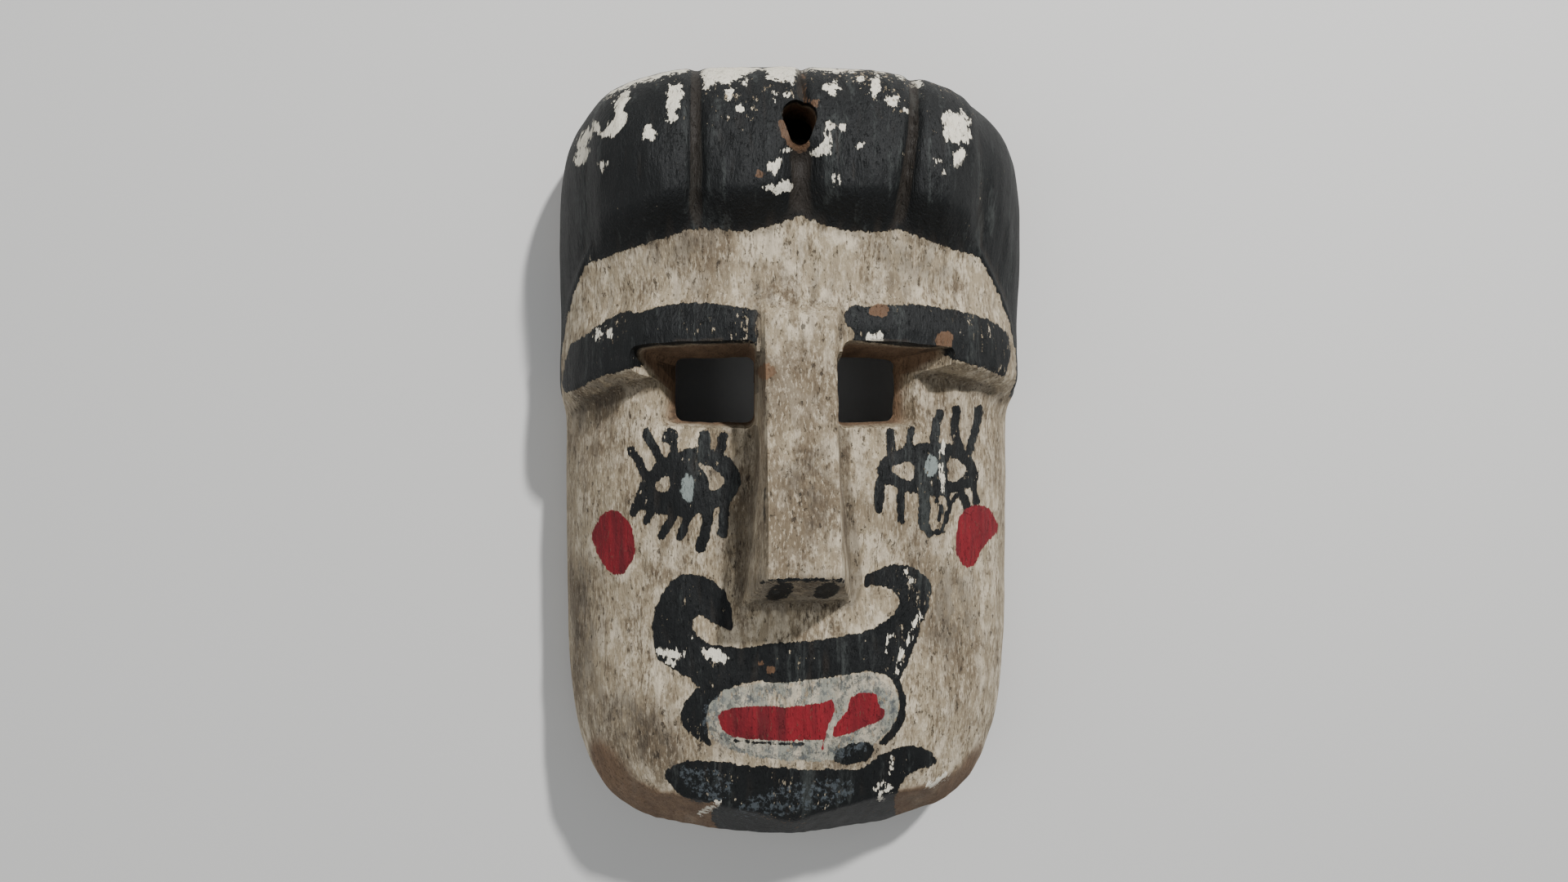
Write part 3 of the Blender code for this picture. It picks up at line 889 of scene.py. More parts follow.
def layer_shapes() -> dict[Layer, tuple[Shape, ...]]:
    """The outlines of each layer, read from the photograph.

    Returns:
        The shapes of each layer, in picture coordinates of a 1920 by 1080 frame.
    """
    brows = (
        Patch(((686, 484), (694, 426), (711, 414), (736, 396), (767, 378), (780, 384), (813, 373),
               (859, 370), (890, 374), (925, 377), (929, 388), (922, 396), (930, 406), (925, 428),
               (890, 426), (839, 434), (803, 439), (762, 455), (731, 462), (711, 475)), 1),
        Patch(((1034, 383), (1039, 375), (1060, 375), (1093, 373), (1129, 373), (1167, 379),
               (1205, 388), (1223, 398), (1236, 411), (1238, 434), (1232, 460), (1226, 460),
               (1200, 449), (1175, 442), (1144, 433), (1103, 434), (1080, 437), (1060, 432),
               (1044, 424), (1046, 404), (1034, 398)), 1),
    )
    left_eye = (
        Patch(((772, 624), (780, 600), (795, 574), (818, 557), (844, 548), (872, 549), (897, 562),
               (908, 582), (905, 604), (890, 617), (869, 626), (839, 632), (813, 631), (790, 624))),
        Stroke(((772, 551), (780, 562), (790, 580)), 11),
        Stroke(((791, 530), (799, 545), (809, 564)), 11),
        Spot(821, 534, 11, 10),
        Stroke(((824, 540), (826, 556)), 9),
        Stroke(((863, 535), (861, 556)), 15),
        Stroke(((886, 535), (880, 558)), 12),
        Stroke(((775, 628), (781, 616)), 10),
        Stroke(((791, 638), (800, 622)), 10),
        Stroke(((810, 656), (826, 630)), 11),
        Stroke(((833, 657), (844, 630)), 11),
        Stroke(((858, 670), (864, 650), (868, 624)), 13),
        Stroke(((885, 652), (888, 616)), 13),
    )
    right_eye = (
        Patch(((1071, 575), (1086, 555), (1112, 546), (1141, 540), (1169, 544), (1189, 556),
               (1199, 578), (1196, 594), (1176, 602), (1154, 607), (1129, 606), (1103, 600),
               (1081, 590))),
        Stroke(((1090, 530), (1091, 556)), 11),
        Stroke(((1116, 526), (1113, 548)), 9),
        Stroke(((1150, 506), (1147, 520), (1143, 545)), 11),
        Stroke(((1171, 501), (1169, 534), (1176, 548)), 10),
        Stroke(((1199, 501), (1195, 525), (1187, 552)), 10),
        Stroke(((1076, 622), (1079, 586)), 12),
        Stroke(((1103, 637), (1103, 600)), 10),
        Stroke(((1131, 642), (1132, 604)), 14),
        Stroke(((1131, 640), (1138, 654)), 9),
        Stroke(((1143, 652), (1154, 650)), 7),
        Stroke(((1156, 642), (1162, 622), (1160, 602)), 6),
        Stroke(((1146, 612), (1152, 622), (1150, 636)), 5),
        Stroke(((1162, 618), (1170, 608)), 5),
        Stroke(((1176, 600), (1186, 625)), 10),
        Stroke(((1190, 588), (1196, 615)), 8),
    )
    moustache = (
        Patch(((833, 704), (849, 702), (867, 708), (882, 718), (892, 733), (897, 753), (898, 772),
               (882, 768), (867, 758), (858, 751), (846, 762), (853, 778), (867, 789), (892, 792),
               (914, 794), (942, 788), (991, 785), (1032, 779), (1064, 773), (1079, 763), (1095, 753),
               (1102, 741), (1099, 728), (1089, 720), (1072, 716), (1057, 720), (1057, 706),
               (1072, 698), (1093, 691), (1113, 692), (1134, 704), (1142, 719), (1138, 741),
               (1128, 762), (1120, 790), (1110, 816), (1101, 834), (1092, 832), (1080, 826),
               (1064, 821), (1040, 826), (1007, 830), (979, 834), (950, 837), (930, 832), (914, 837),
               (890, 843), (862, 848), (852, 836), (829, 821), (808, 811), (801, 797), (799, 777),
               (799, 753), (808, 732), (818, 714)), 1),
    )
    mouth = (
        Patch(((857, 840), (841, 854), (832, 875), (836, 892), (853, 906), (872, 915), (868, 900),
               (863, 880), (868, 862), (884, 849), (880, 838)), 1),
        Stroke(((1097, 834), (1106, 854), (1104, 877), (1094, 897), (1080, 909)), 9),
        Stroke(((900, 907), (940, 910), (985, 911)), 3),
        Patch(((1020, 934), (1024, 920), (1040, 911), (1060, 907), (1074, 915), (1066, 930),
               (1040, 938))),
    )
    beard = (
        Patch(((813, 948), (824, 936), (845, 931), (880, 932), (914, 937), (950, 939), (991, 943),
               (1024, 941), (1056, 943), (1068, 931), (1088, 919), (1117, 911), (1138, 919),
               (1149, 931), (1142, 938), (1118, 944), (1102, 960), (1094, 981), (1098, 1003),
               (1060, 1022), (1000, 1040), (930, 1038), (884, 1022), (867, 996), (886, 981),
               (861, 984), (838, 977), (822, 964)), 1),
    )
    red = (
        Patch(((724, 656), (731, 638), (744, 623), (759, 627), (772, 641), (776, 656), (779, 674),
               (772, 692), (762, 705), (749, 703), (739, 692), (729, 674)), 1),
        Patch(((1183, 622), (1201, 617), (1216, 626), (1224, 649), (1213, 661), (1204, 668),
               (1196, 689), (1186, 696), (1173, 687), (1170, 661), (1173, 636)), 1),
        Patch(((880, 872), (897, 866), (938, 864), (971, 866), (1007, 860), (1022, 855), (1021, 876),
               (1013, 892), (1010, 906), (991, 906), (959, 908), (934, 906), (902, 904), (887, 897),
               (880, 884)), 1),
        Patch(((1040, 851), (1074, 846), (1076, 865), (1084, 870), (1083, 880), (1060, 890),
               (1040, 899), (1020, 904), (1020, 893), (1030, 878), (1040, 868)), 1),
        Stroke(((1009, 900), (1008, 918)), 4),
    )
    pale = (
        Patch(((877, 846), (902, 840), (942, 836), (983, 832), (1024, 830), (1056, 822), (1073, 824),
               (1083, 838), (1098, 842), (1102, 867), (1094, 891), (1080, 903), (1064, 920),
               (1040, 928), (999, 932), (959, 930), (918, 926), (890, 916), (867, 896), (860, 879),
               (867, 862)), 1),
        Stroke(((1038, 812), (1034, 830)), 8),
    )
    drips = (
        Stroke(((942, 864), (944, 899)), 2.5),
        Stroke(((1030, 850), (1030, 868)), 5),
    )
    shine = (
        Spot(842, 598, 8, 18),
        Spot(1140, 571, 8, 14),
    )
    worn = (
        Patch(((860, 40), (860, 113), (872, 104), (879, 101), (890, 104), (901, 97), (912, 92),
               (924, 88), (934, 84), (939, 85), (942, 98), (966, 99), (971, 106), (975, 91),
               (989, 84), (1018, 89), (1047, 87), (1060, 84), (1060, 40)), 1),
        Patch(((700, 150), (735, 122), (770, 106), (810, 94), (856, 84), (856, 50), (780, 60),
               (700, 110)), 1),
        Patch(((752, 122), (770, 110), (773, 122), (764, 132), (768, 146), (757, 165), (742, 167),
               (745, 150), (756, 142)), 1),
        Stroke(((729, 152), (733, 163), (750, 166)), 7),
        Patch(((719, 154), (728, 166), (716, 176), (722, 188), (708, 206), (702, 196), (710, 186),
               (706, 174)), 1),
        Patch(((818, 104), (826, 108), (834, 100), (836, 118), (830, 130), (826, 150), (815, 144),
               (818, 126)), 1),
        Patch(((790, 155), (798, 152), (803, 164), (796, 176), (788, 170)), 1),
        Patch(((1012, 100), (1018, 104), (1024, 97), (1026, 106), (1033, 110), (1024, 112),
               (1020, 118), (1014, 112), (1009, 110)), 1),
        Patch(((886, 110), (897, 108), (899, 118), (890, 122)), 1),
        Spot(913, 102, 4, 4),
        Spot(907, 133, 5, 4),
        Spot(949, 117, 3, 4),
        Spot(964, 115, 3, 3),
        Patch(((1012, 160), (1020, 163), (1016, 180), (1020, 188), (1004, 190), (990, 188),
               (996, 178), (1006, 178)), 1),
        Spot(1016, 155, 5, 4),
        Spot(1032, 156, 4, 4),
        Spot(1053, 178, 3, 3),
        Patch(((938, 196), (947, 201), (955, 193), (958, 204), (948, 215), (941, 208)), 1),
        Spot(958, 184, 3, 3),
        Spot(966, 184, 3, 2),
        Patch(((934, 232), (940, 224), (950, 226), (956, 218), (969, 222), (970, 232), (950, 235)), 1),
        Patch(((1018, 214), (1028, 212), (1031, 224), (1022, 227)), 1),
        Spot(738, 202, 4, 5),
        Patch(((1068, 94), (1078, 92), (1077, 112), (1073, 124), (1065, 118)), 1),
        Patch(((1082, 117), (1098, 116), (1102, 130), (1090, 132)), 1),
        Spot(1105, 92, 6, 4),
        Spot(1122, 102, 6, 4),
        Spot(1078, 86, 8, 4),
        Spot(1054, 97, 4, 4),
        Spot(1110, 136, 2.5, 3),
        Patch(((1152, 148), (1160, 136), (1168, 142), (1176, 132), (1182, 144), (1190, 150),
               (1184, 158), (1192, 168), (1184, 176), (1176, 166), (1170, 178), (1160, 170),
               (1152, 164), (1160, 156)), 1),
        Patch(((1172, 184), (1184, 180), (1182, 194), (1172, 206), (1166, 200)), 1),
        Spot(1146, 195, 3, 4),
        Spot(1156, 213, 3, 3),
        Patch(((1052, 438), (1058, 416), (1070, 405), (1081, 410), (1078, 430), (1066, 438)), 1),
        Spot(733, 409, 4, 6),
        Spot(745, 408, 3, 5),
        Stroke(((1156, 541), (1152, 552), (1154, 600)), 3),
        Patch(((800, 796), (815, 793), (840, 798), (839, 806), (818, 807)), 1),
        Patch(((853, 794), (876, 794), (893, 804), (890, 811), (868, 810)), 1),
        Spot(820, 811, 8, 3),
        Spot(843, 779, 3, 3),
        Spot(1092, 936, 2.5, 6),
        Stroke(((1108, 700), (1118, 712)), 4),
        Stroke(((1124, 752), (1118, 768), (1111, 786)), 5),
        Stroke(((1089, 778), (1083, 798)), 3),
        Stroke(((1105, 798), (1098, 822)), 4),
        Stroke(((1074, 966), (1078, 958), (1088, 959), (1090, 966), (1080, 970), (1078, 978)), 4),
        Stroke(((857, 995), (884, 981)), 4),
        Stroke(((1158, 950), (1138, 963)), 5),
    )
    # Dirt patches, and painted shade where the surface turns from the light: under the left brow, beside
    # the nose, down the left side of the face and under the nose.
    dirt_and_shade = (
        Patch(((962, 560), (1000, 540), (1016, 580), (1010, 640), (986, 660), (966, 620)), 2),
        Patch(((915, 380), (930, 300), (944, 380), (940, 470), (925, 520)), 2),
        Patch(((700, 480), (740, 450), (770, 470), (745, 510), (705, 530)), 2),
        Patch(((700, 690), (730, 680), (735, 780), (715, 850), (700, 800)), 2),
        Patch(((880, 520), (905, 500), (915, 700), (890, 720), (872, 640)), 2),
        Patch(((1130, 700), (1180, 690), (1200, 760), (1170, 800), (1140, 780)), 2),
        Patch(((1060, 290), (1130, 300), (1180, 340), (1130, 345), (1070, 320)), 2),
        Patch(((790, 300), (850, 280), (880, 300), (840, 320), (790, 335)), 2),
        Patch(((740, 840), (800, 860), (850, 950), (800, 940), (750, 900)), 2),
        # Painted shade on the nose's underside.
        Patch(((905, 700), (1036, 706), (1030, 738), (915, 742)), 1),
        Patch(((916, 700), (1042, 700), (1036, 738), (924, 738)), 1),
    )
    whites = (
        Patch(((796, 599), (820, 577), (821, 604)), 1),
        Patch(((851, 566), (870, 571), (886, 582), (886, 597), (867, 602), (869, 586)), 1),
        Patch(((1089, 573), (1107, 566), (1119, 567), (1120, 586), (1112, 590), (1097, 581)), 1),
        Patch(((1161, 560), (1173, 563), (1185, 575), (1177, 586), (1163, 592), (1160, 576)), 1),
    )
    brown = (
        Patch(((1062, 376), (1080, 371), (1090, 376), (1086, 388), (1066, 387)), 1),
        Patch(((1144, 410), (1160, 404), (1168, 412), (1164, 429), (1148, 426)), 1),
        Spot(998, 126, 6, 5),
        Patch(((950, 146), (962, 176), (980, 190), (994, 180), (988, 160), (968, 148)), 1),
        Spot(931, 213, 6, 5),
        Spot(938, 455, 12, 10),
        Spot(944, 820, 6, 5),
        Spot(932, 812, 4, 4),
        Stroke(((983, 92), (986, 128)), 4),
    )
    # Nostril marks under the nose, with a painted shade line along its lower front edge.
    nostrils_and_edge_shade = (
        Patch(((936, 734), (944, 718), (964, 713), (974, 721), (958, 736)), 1),
        Patch(((994, 732), (1002, 716), (1022, 713), (1031, 722), (1014, 734)), 1),
        # Painted shade line along the nose's lower front edge.
        Stroke(((932, 713), (960, 710), (1036, 711)), 4),
    )
    # Cracks and checks, and dark lines of painted shade along the hair's grooves.
    cracks_and_groove_shade = (
        Stroke(((981, 74), (977, 90), (980, 104), (976, 118), (978, 134)), 6),
        Stroke(((853, 84), (855, 150), (852, 210), (853, 262)), 3),
        Stroke(((1113, 96), (1114, 160), (1112, 208)), 2.5),
        Stroke(((1112, 208), (1100, 232), (1103, 246), (1098, 262)), 3),
        Stroke(((1195, 168), (1186, 192), (1170, 206)), 3),
        Stroke(((1201, 222), (1208, 234), (1207, 245), (1199, 260), (1190, 289), (1186, 303)), 3),
        Stroke(((696, 250), (697, 380)), 2),
        Stroke(((938, 560), (936, 640), (931, 700)), 2),
        Stroke(((990, 350), (994, 372)), 2),
        Stroke(((983, 398), (986, 412)), 3),
    )
    frost = (
        Patch(((824, 940), (860, 938), (898, 950), (896, 985), (850, 976))),
        Patch(((900, 985), (960, 960), (1044, 952), (1048, 978), (980, 996), (900, 1004))),
        Patch(((862, 852), (960, 840), (1030, 832), (1070, 826), (1100, 850), (1096, 892),
               (1076, 900), (1078, 856), (1040, 848), (940, 858), (880, 866), (878, 900),
               (900, 912), (1000, 916), (1060, 896), (1060, 926), (960, 934), (880, 918),
               (860, 890))),
    )
    black = brows + left_eye + right_eye + moustache + mouth + beard + nostrils_and_edge_shade
    return {
        Layer.BLACK: black, Layer.RED: red, Layer.PALE: pale + drips, Layer.WHITES: whites,
        Layer.SHINE: shine, Layer.DIRT_AND_SHADE: dirt_and_shade, Layer.CRACK_AND_GROOVE_SHADE: cracks_and_groove_shade, Layer.WORN: worn,
        Layer.BROWN: brown, Layer.FROST: frost,
    }


class Nodes:
    """Short ways to make the nodes of one shader or node group."""

    def __init__(self, tree: bpy.types.NodeTree) -> None:
        """Keep the tree that the nodes go into."""
        self.tree = tree

    def add(self, kind: str, **values: object) -> bpy.types.Node:
        """Add a node and set its plain properties.

        Args:
            kind: the node's type.
            values: plain properties to set.

        Returns:
            The node.
        """
        node = self.tree.nodes.new(kind)
        for name, value in values.items():
            setattr(node, name, value)
        return node

    def feed(self, socket: bpy.types.NodeSocket, value: object) -> None:
        """Link a socket into another, or set its value.

        Args:
            socket: the input to feed.
            value: a socket, or a plain value.
        """
        if isinstance(value, bpy.types.NodeSocket):
            self.tree.links.new(value, socket)
        else:
            socket.default_value = value

    def calc(self, operation: str, first: object, second: object = 0.0,
             clamp: bool = False) -> bpy.types.NodeSocket:
        """One step of arithmetic.

        Args:
            operation: what to do.
            first: the first input.
            second: the second input.
            clamp: whether to hold the result within 0 and 1.

        Returns:
            The result's socket.
        """
        node = self.add("ShaderNodeMath", operation=operation, use_clamp=clamp)
        self.feed(node.inputs[0], first)
        self.feed(node.inputs[1], second)
        return node.outputs[0]

    def blend(self, share: object, first: object, second: object) -> bpy.types.NodeSocket:
        """Mix two colours.

        Args:
            share: share of the second colour.
            first: the first input.
            second: the second input.

        Returns:
            The colour's socket.
        """
        node = self.add("ShaderNodeMix", data_type="RGBA")
        self.feed(node.inputs["Factor"], share)
        self.feed(node.inputs[6], first)
        self.feed(node.inputs[7], second)
        return node.outputs[2]

    def attribute(self, name: str) -> bpy.types.NodeSocket:
        """Read a number kept on the mesh."""
        return self.add("ShaderNodeAttribute", attribute_name=name).outputs["Fac"]

    def noise(self, stretch: tuple[float, float, float], scale: float, detail: float = 4.0,
              rough: float = 0.55, shift: float = 0.0) -> bpy.types.NodeSocket:
        """Noise over the object's own coordinates, stretched along its axes.

        Args:
            stretch: stretch along each axis.
            scale: how fine the pattern is.
            detail: how many finer layers it has.
            rough: how strong the finer layers are.
            shift: offset that makes it differ from others.

        Returns:
            The pattern's socket.
        """
        place = self.add("ShaderNodeTexCoord")
        mapping = self.add("ShaderNodeMapping")
        self.feed(mapping.inputs["Vector"], place.outputs["Object"])
        mapping.inputs["Scale"].default_value = stretch
        mapping.inputs["Location"].default_value = (shift, shift, shift)
        node = self.add("ShaderNodeTexNoise")
        self.feed(node.inputs["Vector"], mapping.outputs[0])
        node.inputs["Scale"].default_value = scale
        node.inputs["Detail"].default_value = detail
        node.inputs["Roughness"].default_value = rough
        return node.outputs["Fac"]

    def window(self, value: object, low: float, high: float) -> bpy.types.NodeSocket:
        """Map a value from low..high to 0..1, held at both ends.

        Args:
            value: the number to map.
            low: what maps to 0.
            high: what maps to 1.

        Returns:
            The result's socket.
        """
        node = self.add("ShaderNodeMapRange", interpolation_type="SMOOTHSTEP")
        self.feed(node.inputs["Value"], value)
        node.inputs["From Min"].default_value = low
        node.inputs["From Max"].default_value = high
        return node.outputs["Result"]


def make_group(name: str, inputs: tuple[tuple[str, float], ...],
               outputs: tuple[str, ...]) -> tuple[bpy.types.NodeTree, Nodes, dict, bpy.types.Node]:
    """Start a shader node group.

    Args:
        name: the group's name.
        inputs: names and first values of its number inputs.
        outputs: names of its number outputs.

    Returns:
        The tree, its node maker, its inputs by name and its output node.
    """
    tree = bpy.data.node_groups.new(name, "ShaderNodeTree")
    for label, value in inputs:
        socket = tree.interface.new_socket(label, in_out="INPUT", socket_type="NodeSocketFloat")
        socket.default_value = value
    for label in outputs:
        tree.interface.new_socket(label, in_out="OUTPUT", socket_type="NodeSocketFloat")
    nodes = Nodes(tree)
    entry = nodes.add("NodeGroupInput")
    return tree, nodes, {label: entry.outputs[label] for label, _ in inputs}, nodes.add("NodeGroupOutput")


def paint_edge_group() -> bpy.types.NodeTree:
    """Turn a signed distance into paint with a ragged, brushed edge and small losses.

    Returns:
        The node group.
    """
    tree, nodes, given, out = make_group(
        "brushed_edge", (("Distance", 0.0), ("Raggedness", 0.5), ("Losses", 0.0)), ("Cover",))
    rag = nodes.calc("SUBTRACT", nodes.noise((1.0, 0.6, 1.0), 520.0, 3.0), 0.5)
    fine = nodes.calc("SUBTRACT", nodes.noise((1.0, 0.25, 1.0), 1500.0, 2.0), 0.5)
    shift = nodes.calc("MULTIPLY", nodes.calc("ADD", rag, nodes.calc("MULTIPLY", fine, 0.6)),
                       given["Raggedness"])
    moved = nodes.calc("ADD", given["Distance"], nodes.calc("MULTIPLY", shift, 3.0))
    body = nodes.window(moved, -0.12, 0.12)
    flakes = nodes.noise((1.0, 0.35, 1.0), 900.0, 5.0, 0.65, 0.37)
    patchy = nodes.noise((1.0, 0.8, 1.0), 60.0, 3.0, 0.6, 0.11)
    score = nodes.calc("ADD", flakes, nodes.calc("MULTIPLY", patchy, 0.5))
    bar = nodes.calc("SUBTRACT", 1.12, nodes.calc("MULTIPLY", given["Losses"], 0.3))
    lost = nodes.window(nodes.calc("SUBTRACT", score, bar), 0.0, 0.03)
    cover = nodes.calc("MULTIPLY", body, nodes.calc("SUBTRACT", 1.0, lost))
    tree.links.new(cover, out.inputs["Cover"])
    return tree


def wood_grain_group() -> bpy.types.NodeTree:
    """Long streaks of grain along Y, and fine pores.

    Returns:
        The node group.
    """
    tree, nodes, given, out = make_group("wood_grain", (("Contrast", 1.0),), ("Grain", "Pores"))
    streaks = nodes.noise((1.0, 0.06, 0.5), 330.0, 6.0, 0.62)
    bands = nodes.noise((1.0, 0.1, 0.6), 75.0, 4.0, 0.6, 0.23)
    grain = nodes.calc("ADD", nodes.calc("MULTIPLY", streaks, 0.6), nodes.calc("MULTIPLY", bands, 0.4))
    grain = nodes.calc("MULTIPLY", nodes.calc("SUBTRACT", grain, 0.5), given["Contrast"])
    tree.links.new(nodes.calc("ADD", grain, 0.5, True), out.inputs["Grain"])
    pores = nodes.noise((1.0, 0.16, 1.0), 1400.0, 3.0, 0.7, 0.61)
    tree.links.new(nodes.window(pores, 0.60, 0.72), out.inputs["Pores"])
    return tree


def tool_marks_tree() -> bpy.types.NodeTree:
    """Make the rule for the carver's shallow gouge marks.

    The marks are long dimples pressed into the surface, one for each cell of an uneven
    pattern. Their depth, width, length and order follow from the named inputs.

    Returns:
        The geometry tree.
    """
    tree = bpy.data.node_groups.new("tool_marks", "GeometryNodeTree")
    tree.interface.new_socket("Block", in_out="INPUT", socket_type="NodeSocketGeometry")
    for label in ("Depth", "Width", "Length", "Seed"):
        tree.interface.new_socket(label, in_out="INPUT", socket_type="NodeSocketFloat")
    tree.interface.new_socket("Finish", in_out="INPUT", socket_type="NodeSocketMaterial")
    tree.interface.new_socket("Block", in_out="OUTPUT", socket_type="NodeSocketGeometry")
    nodes = Nodes(tree)
    entry = nodes.add("NodeGroupInput")
    spot = nodes.add("ShaderNodeSeparateXYZ")
    nodes.feed(spot.inputs[0], nodes.add("GeometryNodeInputPosition").outputs[0])
    cells = nodes.add("ShaderNodeCombineXYZ")
    nodes.feed(cells.inputs[0], nodes.calc("DIVIDE", spot.outputs[0], entry.outputs["Width"]))
    nodes.feed(cells.inputs[1], nodes.calc("DIVIDE", spot.outputs[1], entry.outputs["Length"]))
    nodes.feed(cells.inputs[2], nodes.calc("DIVIDE", spot.outputs[2], entry.outputs["Length"]))
    marks = nodes.add("ShaderNodeTexVoronoi", voronoi_dimensions="4D", feature="SMOOTH_F1")
    nodes.feed(marks.inputs["Vector"], cells.outputs[0])
    nodes.feed(marks.inputs["W"], entry.outputs["Seed"])
    marks.inputs["Scale"].default_value = 1.0
    marks.inputs["Smoothness"].default_value = 0.3
    dimple = nodes.calc("SUBTRACT", 1.0, marks.outputs["Distance"], True)
    above_rim = nodes.window(spot.outputs[2], 1 * MM, 5 * MM)
    press = nodes.calc("MULTIPLY", nodes.calc("MULTIPLY", dimple, above_rim), entry.outputs["Depth"])
    inward = nodes.add("ShaderNodeVectorMath", operation="SCALE")
    nodes.feed(inward.inputs[0], nodes.add("GeometryNodeInputNormal").outputs[0])
    nodes.feed(inward.inputs["Scale"], nodes.calc("MULTIPLY", press, -1.0))
    moved = nodes.add("GeometryNodeSetPosition")
    nodes.feed(moved.inputs["Geometry"], entry.outputs["Block"])
    nodes.feed(moved.inputs["Offset"], inward.outputs[0])
    realized = nodes.add("GeometryNodeRealizeInstances")
    nodes.feed(realized.inputs[0], moved.outputs[0])
    dressed = nodes.add("GeometryNodeSetMaterial")
    nodes.feed(dressed.inputs["Geometry"], realized.outputs[0])
    nodes.feed(dressed.inputs["Material"], entry.outputs["Finish"])
    nodes.feed(nodes.add("NodeGroupOutput").inputs["Block"], dressed.outputs[0])
    return tree


def srgb(red: int, green: int, blue: int) -> tuple[float, float, float, float]:
    """A colour given as screen values from 0 to 255, as the shader's linear colour."""
    linear = [(value / 255) ** 2.2 for value in (red, green, blue)]
    return linear[0], linear[1], linear[2], 1.0


